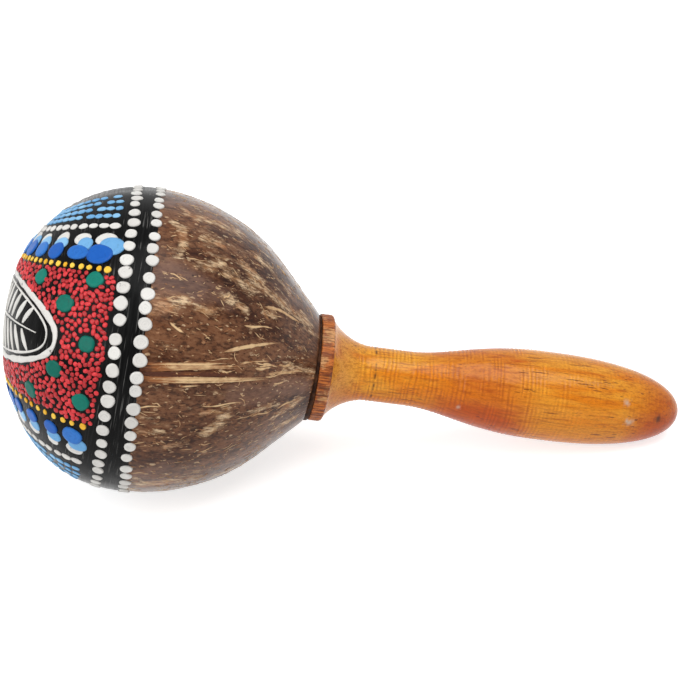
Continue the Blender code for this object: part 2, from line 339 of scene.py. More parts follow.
def length_at(station):
    return np.interp(station, OUTLINE[:, 0], LENGTHS)


def crown_spots(forward, sideways):
    """Points of the turned crown that lie over spots seen along the axis."""
    radius = np.hypot(forward, sideways)
    angle = FIELD_ANGLE + np.arctan2(sideways, forward)
    share = np.clip(1 - (radius / SHELL_RADIUS) ** CROWN_FULLNESS, 0, None)
    station = -CROWN_HEIGHT * share ** (1 / CROWN_FULLNESS)
    return round_axis(station, radius, angle)


def crown_view(points):
    """Forward and sideways distances of points of the crown, seen along the axis."""
    away = off_axis(points)
    angle = angle_of(points) - FIELD_ANGLE
    return away * np.cos(angle), away * np.sin(angle)


def row_distance(distance, side, forward):
    """How far a painted row lies from the field's middle line, closing in towards the crown."""
    end = math.sqrt(PAINT_REACH ** 2 - distance ** 2)
    return side * distance * (1 - PINCH[side] * (1 - (forward / end) ** 2))


def fractal(point, scale, octaves):
    """Noise of about -1 to 1 at a place, with finer noise on top."""
    return noise.fractal(Vector(point) * scale, 1.0, 2.0, octaves)


def noise_over(points, scale, octaves=3):
    return np.array([fractal(point, scale, octaves) for point in points])


def noise_round(angles, scale, octaves, along=0.0):
    """Noise at angles round an axis, at a place along it."""
    return noise_over([(math.cos(angle), math.sin(angle), along) for angle in angles], scale, octaves)


def ring_faces(lower, upper):
    """Faces between two closed rings of vertex numbers. The upper one may be finer by a whole factor."""
    faces = []
    factor = len(upper) // len(lower)
    for index, here in enumerate(lower):
        after = lower[(index + 1) % len(lower)]
        fine = [upper[(index * factor + step) % len(upper)] for step in range(factor + 1)]
        if factor == 1:
            faces.append((here, after, fine[1], fine[0]))
            continue
        half = factor // 2
        faces += [(here, fine[step + 1], fine[step]) for step in range(half)]
        faces.append((here, after, fine[half + 1], fine[half]))
        faces += [(after, fine[step + 1], fine[step]) for step in range(half + 1, factor)]
    return faces


def rings_mesh(rings):
    """Points and faces of a closed skin through rings of points, with one point at each pole."""
    points = np.vstack([np.atleast_2d(ring) for ring in rings])
    starts = np.cumsum([0] + [len(np.atleast_2d(ring)) for ring in rings])
    numbers = [list(range(start, end)) for start, end in zip(starts, starts[1:])]
    faces = []
    for first, second in zip(numbers, numbers[1:]):
        if len(first) == 1 or len(second) == 1:
            ring, pole = (second, first[0]) if len(first) == 1 else (first, second[0])
            faces += [(pole, ring[index - 1], ring[index]) for index in range(len(ring))]
        elif len(first) <= len(second):
            faces += ring_faces(first, second)
        else:
            faces += ring_faces(second, first)
    return points, faces


def make_piece(name, points, faces, place, material, slot, body="body"):
    """A smooth closed mesh that rides on a body, with its place in its vertices."""
    mesh = bpy.data.meshes.new(name)
    turned = np.array(place.to_3x3())
    mesh.from_pydata((points @ turned.T + np.array(place.translation)).tolist(), [], faces)
    shape = bmesh.new()
    shape.from_mesh(mesh)
    bmesh.ops.recalc_face_normals(shape, faces=shape.faces)
    shape.to_mesh(mesh)
    shape.free()
    mesh.shade_smooth()
    mesh.materials.append(material)
    piece = bpy.data.objects.new(name, mesh)
    bpy.context.scene.collection.objects.link(piece)
    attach(piece, body)
    return piece


def give_attribute(piece, name, values):
    """Keep a number or a vector for each vertex, for the materials to read."""
    values = np.asarray(values, np.float32)
    kind, field = ("FLOAT", "value") if values.ndim == 1 else ("FLOAT_VECTOR", "vector")
    made = piece.data.attributes.new(name, kind, "POINT")
    made.data.foreach_set(field, values.ravel())


# Materials

def feed(tree, node, sockets):
    """Link each named or numbered socket of a node to another node, or set it."""
    for name, value in sockets.items():
        if isinstance(value, bpy.types.NodeSocket):
            tree.links.new(value, node.inputs[name])
        else:
            node.inputs[name].default_value = value


def add_node(tree, kind, sockets=None, **settings):
    made = tree.nodes.new("ShaderNode" + kind)
    for name, value in settings.items():
        setattr(made, name, value)
    feed(tree, made, sockets or {})
    return made


def own_place(tree):
    """A place on the piece itself, in metres."""
    return add_node(tree, "TexCoord").outputs["Object"]


def read(tree, name):
    """A vector that the mesh keeps for each vertex."""
    return add_node(tree, "Attribute", attribute_name=name).outputs["Vector"]


def read_number(tree, name):
    return add_node(tree, "Attribute", attribute_name=name).outputs["Fac"]


def stretched(tree, place, scale):
    """A place with each direction scaled, so that what is drawn there is drawn out the other way."""
    return add_node(tree, "Mapping", {"Vector": place, "Scale": scale}).outputs["Vector"]


def noise_at(tree, place, scale, detail=3.0, roughness=0.5, distortion=0.0):
    sockets = {"Vector": place, "Scale": scale, "Detail": detail, "Roughness": roughness,
               "Distortion": distortion}
    return add_node(tree, "TexNoise", sockets).outputs["Fac"]


def between(tree, value, low, high, first=0.0, last=1.0):
    """A smooth change from first to last as a value goes from low to high."""
    sockets = {"Value": value, "From Min": low, "From Max": high, "To Min": first, "To Max": last}
    return add_node(tree, "MapRange", sockets, interpolation_type="SMOOTHSTEP").outputs["Result"]


def calc(tree, operation, *values):
    return add_node(tree, "Math", dict(enumerate(values)), operation=operation).outputs["Value"]


def mixed(tree, share, first, second):
    """First colour where share is 0, second where it is 1."""
    sockets = {"Factor": share, "A": first, "B": second}
    return add_node(tree, "Mix", sockets, data_type="RGBA").outputs["Result"]


def shaken(tree, place, scale, amount):
    """A place moved about by noise, so that what is drawn there has ragged edges."""
    moved = add_node(tree, "TexNoise", {"Vector": place, "Scale": scale, "Detail": 3.0})
    terms = {0: moved.outputs["Color"], 1: (amount, amount, amount), 2: place}
    return add_node(tree, "VectorMath", terms, operation="MULTIPLY_ADD").outputs["Vector"]


def spots_at(tree, place, scale, smallest, growth):
    """Spots strewn at random, each of its own size: those that come out smaller than nothing don't show."""
    made = add_node(tree, "TexVoronoi", {"Vector": place, "Scale": scale})
    size = calc(tree, "MULTIPLY_ADD", made.outputs["Color"], growth, smallest)
    return between(tree, calc(tree, "SUBTRACT", made.outputs["Distance"], size), -0.05, 0.02, 1.0, 0.0)


def product(tree, *values):
    found = values[0]
    for value in values[1:]:
        found = calc(tree, "MULTIPLY", found, value)
    return found


def bumped(tree, height, depth):
    """Normals of a surface whose height runs from 0 to 1 over a depth."""
    return add_node(tree, "Bump", {"Height": height, "Distance": depth}).outputs["Normal"]


def linear(value):
    """Amount of light of a screen value from 0 to 255."""
    value = value / 255
    return value / 12.92 if value <= 0.04045 else ((value + 0.055) / 1.055) ** 2.4


def colour(red, green, blue):
    """A colour given as screen values."""
    return (linear(red), linear(green), linear(blue), 1.0)


def new_material(name):
    material = bpy.data.materials.new(name)
    material.use_nodes = True
    return material, material.node_tree, material.node_tree.nodes["Principled BSDF"]


def rough_zones(tree, streaky):
    """Where the sanding left the nut rough, in and round the pale zones, from 0 to 1."""
    uneven = noise_at(tree, streaky, 0.16, 5, 0.6)
    uneven = calc(tree, "MULTIPLY_ADD", read_number(tree, "paleness"), 0.40, uneven)
    return between(tree, uneven, 0.54, 0.74)


def coconut_ground(tree, place, streaky, rough):
    """Brown of the bare shell: warm clouds, darker where rough, painted greyish sheen where smooth, and
    grain.
    """
    clouds = between(tree, noise_at(tree, streaky, 0.085, 6, 0.62), 0.36, 0.62)
    shade = mixed(tree, clouds, colour(64, 30, 13), colour(118, 78, 53))
    shade = mixed(tree, rough, shade, mixed(tree, clouds, colour(48, 19, 7), colour(96, 54, 28)))
    # Greyish where sanded smoothest: partly the shell's own colour, partly a painted sheen of the varnish
    smooth = calc(tree, "ADD", read_number(tree, "smoothness"), noise_at(tree, place, 0.06, 3))
    smooth = between(tree, smooth, 0.62, 1.20)
    shade = mixed(tree, product(tree, smooth, 0.3), shade, colour(138, 109, 97))
    grain = noise_at(tree, stretched(tree, place, (1, 1, 0.6)), 0.75, 5, 0.66)
    coarse = between(tree, smooth, 0.0, 0.8, 1.0, 0.5)
    dark_grain = product(tree, between(tree, grain, 0.47, 0.60, 0.0, 0.7), coarse)
    pale_grain = product(tree, between(tree, grain, 0.46, 0.33, 0.0, 0.30), coarse)
    shade = mixed(tree, dark_grain, shade, colour(38, 18, 10))
    return mixed(tree, pale_grain, shade, colour(146, 108, 80))


def coconut_mottles(tree, place, streaky):
    """Where husk is left, nearly all of it in the pale zones: a brown haze, and blotches in it."""
    field = noise_at(tree, streaky, 0.26, 7, 0.74, 0.4)
    field = calc(tree, "MULTIPLY_ADD", read_number(tree, "paleness"), 0.21, field)
    fibrous = noise_at(tree, stretched(tree, place, (1, 1, 0.18)), 1.3, 4, 0.68)
    broken = between(tree, fibrous, 0.40, 0.56, 0.1, 1.0)
    return between(tree, field, 0.52, 0.67), product(tree, between(tree, field, 0.57, 0.72), broken)


def coconut_material():
    """Sanded shell under a thinly laid varnish: dark brown, with tan blotches, specks and scratches."""
    material, tree, shader = new_material("coconut")
    place = read(tree, "fibre_place")
    ragged = shaken(tree, place, 0.5, 1.6)
    streaky = stretched(tree, ragged, (1, 1, 0.36))
    rough = rough_zones(tree, streaky)
    haze, blotches = coconut_mottles(tree, place, streaky)
    shade = coconut_ground(tree, place, streaky, rough)
    shade = mixed(tree, product(tree, haze, 0.35), shade, colour(132, 93, 65))
    scratches = noise_at(tree, stretched(tree, place, (1, 1, 0.08)), 2.2, 3)
    shade = mixed(tree, between(tree, scratches, 0.58, 0.74, 0.0, 0.4), shade, colour(156, 118, 88))
    specks = spots_at(tree, stretched(tree, ragged, (1, 1, 0.50)), 0.80, -0.33, 0.80)
    flecks = calc(tree, "MAXIMUM", blotches, product(tree, specks, 0.6))
    light = between(tree, noise_at(tree, streaky, 0.7, 4, 0.6), 0.36, 0.62)
    tan = mixed(tree, light, colour(164, 121, 82), colour(228, 199, 160))
    rusty = between(tree, noise_at(tree, place, 0.11, 3), 0.54, 0.64, 0.0, 0.6)
    tan = mixed(tree, rusty, tan, colour(168, 104, 60))
    shade = mixed(tree, product(tree, flecks, 0.92), shade, tan)
    pits = noise_at(tree, stretched(tree, place, (1, 1, 0.5)), 1.0, 2)
    pits = between(tree, pits, 0.66, 0.72)
    shade = mixed(tree, product(tree, pits, 0.75), shade, colour(40, 22, 14))
    relief = calc(tree, "SUBTRACT", product(tree, scratches, 0.4), product(tree, flecks, 0.35))
    relief = calc(tree, "SUBTRACT", relief, product(tree, pits, 0.6))
    dull = calc(tree, "MAXIMUM", flecks, product(tree, rough, 0.7))
    feed(tree, shader, {
        "Base Color": shade,
        "Normal": bumped(tree, relief, 0.00016),
        "Roughness": between(tree, dull, 0.0, 1.0, 0.34, 0.60),
        "Specular IOR Level": 0.03,
        "Coat Weight": 1.0,
        "Coat IOR": 1.2,
        "Coat Roughness": 0.22,
    })
    return material


def fibre_material():
    """Pale husk fibre, each one of its own tone, with darker lines along it; low tones are painted shade.
    """
    material, tree, shader = new_material("husk_fibre")
    place = own_place(tree)
    lines = noise_at(tree, stretched(tree, place, (0.12, 1, 1)), 1500, 3)
    uneven = calc(tree, "SUBTRACT", lines, 0.5)
    tone = calc(tree, "MULTIPLY_ADD", uneven, 0.9, read_number(tree, "tone"))
    shade = mixed(tree, between(tree, tone, -0.1, 1.1), colour(142, 88, 50), colour(222, 188, 142))
    # Dark brown for the lowest tones: strands of painted shade between the pale bundles
    shade = mixed(tree, between(tree, tone, -0.8, -0.1), colour(76, 40, 26), shade)
    rim = between(tree, read_number(tree, "rim"), 0.6, 1.0, 0.0, 0.5)
    feed(tree, shader, {
        "Base Color": mixed(tree, rim, shade, colour(104, 66, 40)),
        "Roughness": between(tree, lines, 0.3, 0.7, 0.5, 0.65),
        "Specular IOR Level": 0.2,
        "Normal": bumped(tree, lines, 0.00006),
    })
    return material


def coat_material():
    """Black ground coat, with the marks of a brush drawn round the shell and pale painted glints along
    them.
    """
    material, tree, shader = new_material("black_coat")
    place = read(tree, "brush_place")
    brushed = noise_at(tree, stretched(tree, place, (0.05, 0.05, 1)), 1.3, 4, 0.6)
    shade = mixed(tree, between(tree, brushed, 0.45, 0.75), colour(7, 7, 7), colour(24, 24, 24))
    # Pale grey hairlines along the brush marks, in patches: painted glints of light on the brush ridges
    hairs = noise_at(tree, stretched(tree, place, (0.03, 0.03, 1)), 2.6, 2)
    hairs = between(tree, hairs, 0.58, 0.68)
    patchy = between(tree, noise_at(tree, place, 0.11, 3), 0.46, 0.60)
    shade = mixed(tree, product(tree, hairs, patchy, 0.55), shade, colour(112, 111, 109))
    feed(tree, shader, {
        "Base Color": shade,
        "Roughness": between(tree, brushed, 0.3, 0.7, 0.16, 0.28),
        "Specular IOR Level": 0.06,
        "Normal": bumped(tree, brushed, 0.00006),
    })
    return material


def paint_material(name, dark, light, shine=0.14):
    """Thick paint in dots, each a little lighter or darker, with swirls of the brush and a darker rim,
    partly of thinner paint and partly of painted shade at the dot's edge.
    """
    material, tree, shader = new_material(name)
    place = own_place(tree)
    grainy = noise_at(tree, place, 900, 3)
    uneven = calc(tree, "SUBTRACT", grainy, 0.5)
    tone = calc(tree, "MULTIPLY_ADD", uneven, 0.5, read_number(tree, "tone"))
    shade = mixed(tree, between(tree, tone, 0.0, 1.0), dark, light)
    # Darker tone for the brush swirls and for the rim, where it is thinner paint and painted shade at the
    # edge
    thin_paint_and_edge_shade = tuple(0.45 * value for value in dark[:3]) + (1.0,)
    share = read_number(tree, "rim")
    swirl = calc(tree, "SINE", calc(tree, "MULTIPLY_ADD", share, 17.0, product(tree, grainy, 12.0)))
    swept = between(tree, noise_at(tree, place, 330, 2), 0.44, 0.58)
    swirl = product(tree, between(tree, swirl, 0.4, 0.95, 0.0, 0.22), swept)
    shade = mixed(tree, swirl, shade, thin_paint_and_edge_shade)
    # Darker towards each dot's rim: thinner paint and painted shade at its edge
    shade = mixed(tree, between(tree, share, 0.86, 1.0, 0.0, 0.35), shade, thin_paint_and_edge_shade)
    chips = between(tree, noise_at(tree, place, 480, 4, 0.6), 0.67, 0.72, 0.0, 0.75)
    shade = mixed(tree, chips, shade, colour(52, 46, 40))
    feed(tree, shader, {
        "Base Color": shade,
        "Roughness": between(tree, grainy, 0.3, 0.7, 0.30, 0.42),
        "Specular IOR Level": shine,
        "Normal": bumped(tree, grainy, 0.00004),
    })
    return material


def wood_grain(tree, place):
    """Orange wood: growth bands, redder stretches, redder below as painted shade, fine lines along the
    grain and rings from the lathe, with painted shade in their valleys.
    """
    bands = noise_at(tree, stretched(tree, place, (1, 1, 0.16)), 0.12, 5, 0.6, 0.6)
    shade = mixed(tree, between(tree, bands, 0.36, 0.64), colour(232, 134, 16), colour(255, 184, 58))
    shade = mixed(tree, product(tree, read_number(tree, "flare"), 0.45), shade, colour(216, 158, 88))
    uneven = calc(tree, "SUBTRACT", bands, 0.5)
    # The red is laid on more below than on top of the handle: partly red stretches, partly painted shade
    red = calc(tree, "MULTIPLY_ADD", uneven, 2.4, read_number(tree, "redness"))
    shade = mixed(tree, product(tree, between(tree, red, 0.0, 1.1), 0.95), shade, colour(196, 76, 4))
    lines = noise_at(tree, stretched(tree, place, (1, 1, 0.06)), 1.2, 4, 0.65)
    lines = between(tree, lines, 0.44, 0.70)
    shade = mixed(tree, product(tree, lines, 0.6), shade, colour(156, 62, 6))
    grainy = noise_at(tree, stretched(tree, place, (1, 1, 0.4)), 2.4, 3, 0.6)
    shade = mixed(tree, between(tree, grainy, 0.42, 0.72, 0.0, 0.4), shade, colour(150, 62, 8))
    # Darker in the valleys of the lathe rings: painted shade
    turned = between(tree, read_number(tree, "chatter"), -0.8, 0.5, 0.40, 0.0)
    return mixed(tree, turned, shade, colour(140, 58, 8))


def wood_pores(tree, place):
    """Short dark lines along the grain, gathered in places."""
    lines = spots_at(tree, stretched(tree, place, (1, 1, 0.032)), 1.6, -0.03, 0.36)
    crowd = noise_at(tree, stretched(tree, place, (1, 1, 0.35)), 0.12, 2)
    crowd = calc(tree, "MULTIPLY_ADD", read_number(tree, "pore_amount"), 0.17, crowd)
    return product(tree, lines, between(tree, crowd, 0.50, 0.64))


def collar_wood(tree, place, fine):
    """Dirty worn end grain round the rim of the collar."""
    rim = mixed(tree, between(tree, fine, 0.38, 0.60), colour(120, 58, 30), colour(206, 118, 54))
    dirty = noise_at(tree, stretched(tree, place, (0.6, 0.6, 1)), 0.26, 4, 0.6)
    dirty = between(tree, dirty, 0.50, 0.64)
    rim = mixed(tree, product(tree, dirty, 0.6), rim, colour(112, 66, 52))
    patchy = between(tree, noise_at(tree, place, 0.16, 5, 0.65), 0.50, 0.62)
    pale = mixed(tree, between(tree, fine, 0.42, 0.54), colour(150, 86, 44), colour(226, 172, 116))
    rim = mixed(tree, product(tree, patchy, 0.75), rim, pale)
    return mixed(tree, product(tree, read_number(tree, "groove"), 0.9), rim, colour(58, 28, 16))


def wood_material():
    """Varnished turning: orange wood with dark pores, a dirty collar and marks of use."""
    material, tree, shader = new_material("varnished_wood")
    place = read(tree, "grain_place")
    pores = wood_pores(tree, place)
    shade = mixed(tree, product(tree, pores, 0.9), wood_grain(tree, place), colour(96, 36, 6))
    fine = noise_at(tree, stretched(tree, place, (1, 1, 0.12)), 1.4, 4, 0.65)
    shade = mixed(tree, read_number(tree, "collar"), shade, collar_wood(tree, place, fine))
    shade = mixed(tree, read_number(tree, "mark"), shade, colour(64, 34, 18))
    shade = mixed(tree, product(tree, read_number(tree, "scuff"), 0.8), shade, colour(204, 182, 164))
    gloss = between(tree, fine, 0.3, 0.7, 0.13, 0.24)
    relief = calc(tree, "SUBTRACT", product(tree, fine, 0.25), pores)
    feed(tree, shader, {
        "Base Color": shade,
        "Roughness": calc(tree, "MULTIPLY_ADD", read_number(tree, "collar"), 0.25, gloss),
        "Specular IOR Level": 0.20,
        "Normal": bumped(tree, relief, 0.0001),
    })
    return material


def glue_material():
    material, tree, shader = new_material("dark_glue")
    place = own_place(tree)
    cloudy = noise_at(tree, place, 420, 4)
    shade = mixed(tree, between(tree, cloudy, 0.35, 0.65), colour(44, 26, 18), colour(84, 54, 36))
    feed(tree, shader, {
        "Base Color": shade,
        "Roughness": between(tree, cloudy, 0.3, 0.7, 0.55, 0.75),
        "Specular IOR Level": 0.08,
        "Normal": bumped(tree, cloudy, 0.0002),
    })
    return material


def seed_material():
    material, tree, shader = new_material("dry_seed")
    place = own_place(tree)
    streaks = noise_at(tree, stretched(tree, place, (1, 1, 0.2)), 900, 4)
    shade = mixed(tree, between(tree, streaks, 0.38, 0.62), colour(88, 50, 28), colour(152, 100, 60))
    feed(tree, shader, {
        "Base Color": shade,
        "Roughness": between(tree, streaks, 0.3, 0.7, 0.3, 0.5),
        "Normal": bumped(tree, streaks, 0.0001),
    })
    return material


# Shell

def bore_ring(station, angles):
    """Ring where the bore for the tenon passes a station of the shell, which leans against the handle."""
    to_shell = SHELL_PLACE.inverted() @ HANDLE_PLACE
    ring = []
    for angle in angles:
        start = to_shell @ Vector((0, -BORE_RADIUS * math.cos(angle), BORE_RADIUS * math.sin(angle)))
        step = to_shell.to_3x3() @ Vector((1, 0, 0))
        ring.append(start + step * ((station - start.x) / step.x))
    return np.array(ring)


def chamber_rings(angles):
    """Rings of the chamber's wall, from the bore to its crown."""
    arc_radius = BELLY_ARC_RADIUS - SHELL_WALL
    arc_centre = SHELL_RADIUS - BELLY_ARC_RADIUS
    end_slope = math.acos((BORE_RADIUS - arc_centre) / arc_radius)
    mouth = arc_radius * math.sin(end_slope)
    rings = [bore_ring(mouth, angles)]
    for slope in np.linspace(end_slope, 0, CHAMBER_RINGS // 2)[1:]:
        rings.append((arc_radius * math.sin(slope), arc_centre + arc_radius * math.cos(slope)))
    power = 2 / CROWN_FULLNESS
    for turn in np.linspace(math.pi / 2, 0, CHAMBER_RINGS // 2)[1:-1]:
        rings.append((-(CROWN_HEIGHT - SHELL_WALL) * math.cos(turn) ** power,
                      (SHELL_RADIUS - SHELL_WALL) * math.sin(turn) ** power))
    for index, (station, radius) in enumerate(rings[1:], start=1):
        rise = CROWN_RISE * max(0.0, -station / CROWN_HEIGHT) ** 3
        rings[index] = round_axis(station, radius, angles) + (0, 0, rise)
    crown = SHELL_WALL - CROWN_HEIGHT
    rings.append(np.array([[crown, 0, CROWN_RISE * (-crown / CROWN_HEIGHT) ** 3]]))
    return rings


def fibre_places(points):
    """Lengths from the crown, distances from the axis and angles round it, of points of the nut."""
    return length_under(points), off_axis(points), angle_of(points)


def straightened(length, across, angle):
    """Places in a frame where the fibres run straight along one axis, though they converge on the nut."""
    girth = SHELL_RADIUS + FIBRE_CONVERGENCE * (across - SHELL_RADIUS)
    return np.column_stack([girth * np.cos(angle), girth * np.sin(angle), length])


def zone_share(zones, length, across, angle):
    """How far each point lies in one of the zones, from 0 to 1."""
    found = np.zeros(len(length))
    for first_station, last_station, first_angle, last_angle, half_width in zones:
        start = length_at(first_station * MM)
        run = length_at(last_station * MM) - start
        sweep = math.radians(last_angle - first_angle) * across
        for turn in ZONE_TURNS:
            around = wrapped(angle - math.radians(first_angle + turn)) * across
            share = np.clip(((length - start) * run + around * sweep) / (run ** 2 + sweep ** 2), 0, 1)
            away = np.hypot(length - start - share * run, around - share * sweep)
            found = np.maximum(found, np.exp(-(away / (half_width * MM)) ** 2))
    return found


def build_shell(material):
    """The nut in one closed skin: outside, sawn end, bore and chamber."""
    angles = round_angles(SHELL_SEGMENTS)
    steps = np.linspace(0, LENGTHS[-1], round(LENGTHS[-1] / SHELL_STEP))
    rings = [shell_points(np.array([0.0]), np.array([0.0]), 0.0)]
    for length in steps[1:]:
        rings.append(shell_points(np.full(SHELL_SEGMENTS, length), angles, 0.0))
    rings.append(bore_ring(GIRTH_TO_SAWN_END, angles))
    rings += chamber_rings(angles)
    points, faces = rings_mesh(rings)
    shell = make_piece("coconut_shell_skin", points, faces, SHELL_PLACE, material, slot="shell")
    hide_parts("coconut_shell")
    places = fibre_places(points)
    give_attribute(shell, "fibre_place", straightened(*places) / MM)
    give_attribute(shell, "paleness", zone_share(PALE_ZONES, *places))
    give_attribute(shell, "smoothness", zone_share(SMOOTH_SHEEN_ZONES, *places))


# Paint

def coat_edge(angles):
    """Station where the ground coat ends, wavering as a hand-drawn edge does."""
    middle, tilt = RIGHT_RING
    return middle + COAT_EDGE - tilt * np.sin(angles) + COAT_WAVER * noise_round(angles, 6, 3)


def build_coat(material):
    """Thin cap of black paint that feathers out at its edge."""
    angles = round_angles(SHELL_SEGMENTS)
    reach = length_at(coat_edge(angles))
    pole = np.array([0.0])
    rings = [shell_points(pole, pole, COAT_THICKNESS)]
    for share in np.linspace(0, 1, COAT_RINGS)[1:]:
        length = reach * share
        thickness = COAT_THICKNESS * np.sqrt(smooth_step(reach - length, *COAT_FEATHER))
        rings.append(shell_points(length, angles, thickness))
    for share in np.linspace(1, 0, COAT_BACK_RINGS)[:-1]:
        rings.append(shell_points(reach * share, angles, COAT_SINK))
    rings.append(shell_points(pole, pole, COAT_SINK))
    points, faces = rings_mesh(rings)
    coat = make_piece("ground_coat", points, faces, SHELL_PLACE, material, slot="paint_black")
    angle = angle_of(points)
    place = np.column_stack([SHELL_RADIUS * np.cos(angle), SHELL_RADIUS * np.sin(angle), points[:, 0]])
    give_attribute(coat, "brush_place", place / MM)


AXIS = np.array([1.0, 0.0, 0.0])


class Marks:
    """Painted marks of one colour, gathered into one mesh."""

    def __init__(self):
        self.points = []
        self.faces = []
        self.tones = []
        self.rims = []
        self.count = 0

    def take(self, points, faces, tone, rims):
        """Add a mark, with one tone for all of it or one for each point."""
        self.points.append(points)
        self.faces += [tuple(self.count + number for number in face) for face in faces]
        self.tones.append(np.broadcast_to(tone, len(points)))
        self.rims.append(rims)
        self.count += len(points)

    def build(self, name, material, slot):
        piece = make_piece(name, np.vstack(self.points), self.faces, SHELL_PLACE, material, slot=slot)
        give_attribute(piece, "tone", np.concatenate(self.tones))
        give_attribute(piece, "rim", np.concatenate(self.rims))


# Profiles of drops of paint: shares of the half size and of the height, from the middle to the rim
DAB_PROFILE = ((0.0, 0.85), (0.3, 0.88), (0.6, 0.97), (0.8, 1.0), (0.93, 0.62), (1.0, 0.0))
DISHED_PROFILE = ((0.0, 0.70), (0.3, 0.66), (0.52, 0.74), (0.72, 1.0), (0.84, 0.96), (0.94, 0.58),
                  (1.0, 0.0))
BEAD_PROFILE = ((0.0, 0.85), (0.3, 0.84), (0.6, 0.76), (0.8, 0.58), (0.93, 0.33), (1.0, 0.0))


def add_dab(marks, chance, spot, heading, half_length, half_width, height, base=0.0, sides=18,
            squareness=1.0, profile=DAB_PROFILE):
    """A drop of paint on the shell, with its length along a heading. It may lie over others on a base."""
    outward = unit(spot)
    along = unit(heading - outward * (heading @ outward))
    across = np.cross(outward, along)
    turn = round_angles(sides)
    wobble = np.ones(sides)
    for waves in (2, 3, 4):
        wobble += chance.uniform(-0.035, 0.035) * np.cos(waves * turn + chance.uniform(0, 2 * math.pi))
    rim = np.outer(half_length * signed_power(np.cos(turn), squareness) * wobble, along)
    rim = rim + np.outer(half_width * signed_power(np.sin(turn), squareness) * wobble, across)
    ground = COAT_THICKNESS + base
    rings = [settled(spot[None], ground + profile[0][1] * height)]
    shares = [np.zeros(1)]
    for share, rise in profile[1:]:
        rings.append(settled(spot + share * rim, ground + rise * height))
        shares.append(np.full(sides, share))
    rings.append(settled(spot + rim, PAINT_SKIRT))
    rings.append(settled(spot[None], PAINT_SKIRT))
    shares += [np.ones(sides), np.ones(1)]
    points, faces = rings_mesh(rings)
    marks.take(points, faces, chance.uniform(0, 1), np.concatenate(shares))


STROKE_PROFILE = ((-1.0, None), (-1.0, 0.0), (-0.86, 0.55), (-0.5, 0.9), (0.0, 1.0),
                  (0.5, 0.9), (0.86, 0.55), (1.0, 0.0), (1.0, None))


def add_stroke(marks, path, half_widths, height, tones, base=0.0, closed=False):
    """A stroke along a path on the shell. A profile point with no height is the stroke's skirt."""
    outward = unit(path)
    if closed:
        ahead = np.roll(path, -1, axis=0) - np.roll(path, 1, axis=0)
    else:
        ahead = np.gradient(path, axis=0)
    across = unit(np.cross(outward, ahead))
    columns = []
    rims = []
    for share, rise in STROKE_PROFILE:
        lift = PAINT_SKIRT if rise is None else COAT_THICKNESS + base + rise * height
        columns.append(settled(path + (share * half_widths)[:, None] * across, lift))
        rims.append(np.full(len(path), abs(share)))
    sections = np.stack(columns, axis=1)
    width = len(STROKE_PROFILE)
    faces = []
    count = len(path)
    for row in range(count if closed else count - 1):
        here, after = row * width, (row + 1) % count * width
        for column in range(width):
            beside = (column + 1) % width
            faces.append((here + column, here + beside, after + beside, after + column))
    if not closed:
        faces.append(tuple(range(width)))
        faces.append(tuple((count - 1) * width + column for column in range(width)))
    tones = np.repeat(np.broadcast_to(tones, count), width)
    marks.take(sections.reshape(-1, 3), faces, tones, np.stack(rims, axis=1).ravel())


CHIP_PROFILE = ((0.0, 0.85), (0.6, 1.0), (1.0, 0.0))
FIBRE_HEIGHT = 0.00006


def add_fibre(fibres, chance, stations, angles, half_width, waver, tone=0.3, brown=0.0):
    """A fibre in the bare shell between two stations and angles, paler in its middle than at its ends.

    It may be browner where it starts.
    """
    share = np.linspace(0, 1, 30)
    length = length_at(stations[0] + share * (stations[1] - stations[0]))
    waves = waver * np.sin(2 * math.pi * (share * chance.uniform(0.6, 1.6) + chance.random()))
    around = np.interp(length, LENGTHS, OUTLINE[:, 1])
    path = turned_points(length, angles[0] + share * (angles[1] - angles[0]) + waves / around)
    ragged = noise_over(path, 500)
    taper = window(share, 0, 0.12, 0.7, 1)
    half_widths = half_width * (taper * (1 + 0.5 * ragged) + 0.05)
    tones = tone + chance.uniform(-0.2, 0.2) + 0.5 * np.sin(math.pi * share) + 0.3 * ragged
    tones = tones - brown * smooth_step(share, 0.4, 0.0)
    add_stroke(fibres, path, half_widths, FIBRE_HEIGHT, tones, -COAT_THICKNESS)


def add_curl(fibres, chance, angle, station):
    """A thin fibre that curls over the shell."""
    middle = turned_points(np.array(length_at(station)), np.array(angle))
    outward = unit(middle)
    along = unit(AXIS - outward * (AXIS @ outward))
    across = np.cross(outward, along)
    turn = np.linspace(0, chance.uniform(0.6, 1.8), 20) + chance.uniform(0, 2 * math.pi)
    radius = chance.uniform(1.0, 3.2) * MM
    path = middle + radius * (np.outer(np.cos(turn), along) + np.outer(np.sin(turn), across))
    half_widths = chance.uniform(0.08, 0.15) * MM * np.sin(math.pi * np.linspace(0.08, 0.92, 20))
    add_stroke(fibres, path, half_widths, FIBRE_HEIGHT, chance.uniform(0, 0.9), -COAT_THICKNESS)


def lay_bundles(fibres, chance, ridge):
    """Bundles of fibres along a seam of the nut, pale ones and dark strands of painted shade between them,
    and short ends of fibre towards the handle.
    """
    for start, end, first_angle, last_angle, strands, tone in SEAM_BUNDLES_AND_SHADE_LINES:
        for strand in range(strands):
            apart = math.radians(0.38) * (strand - (strands - 1) / 2)
            angles = (ridge + math.radians(first_angle) + apart,
                      ridge + math.radians(last_angle) + 0.6 * apart)
            stations = (start * MM + chance.uniform(0, 3) * MM, end * MM - chance.uniform(0, 7) * MM)
            half_width = chance.uniform(0.14, 0.34) * MM
            own_tone = tone + chance.uniform(-0.35, 0.2)
            add_fibre(fibres, chance, stations, angles, half_width, 0.1 * MM, own_tone, 0.8)
    for _ in range(SEAM_ENDS):
        start = chance.uniform(30, 48) * MM
        angle = ridge + math.radians(chance.uniform(2, 11))
        stations = (start, start + chance.uniform(3, 8) * MM)
        angles = (angle, angle + math.radians(1))
        add_fibre(fibres, chance, stations, angles, chance.uniform(0.15, 0.4) * MM, 0.2 * MM)


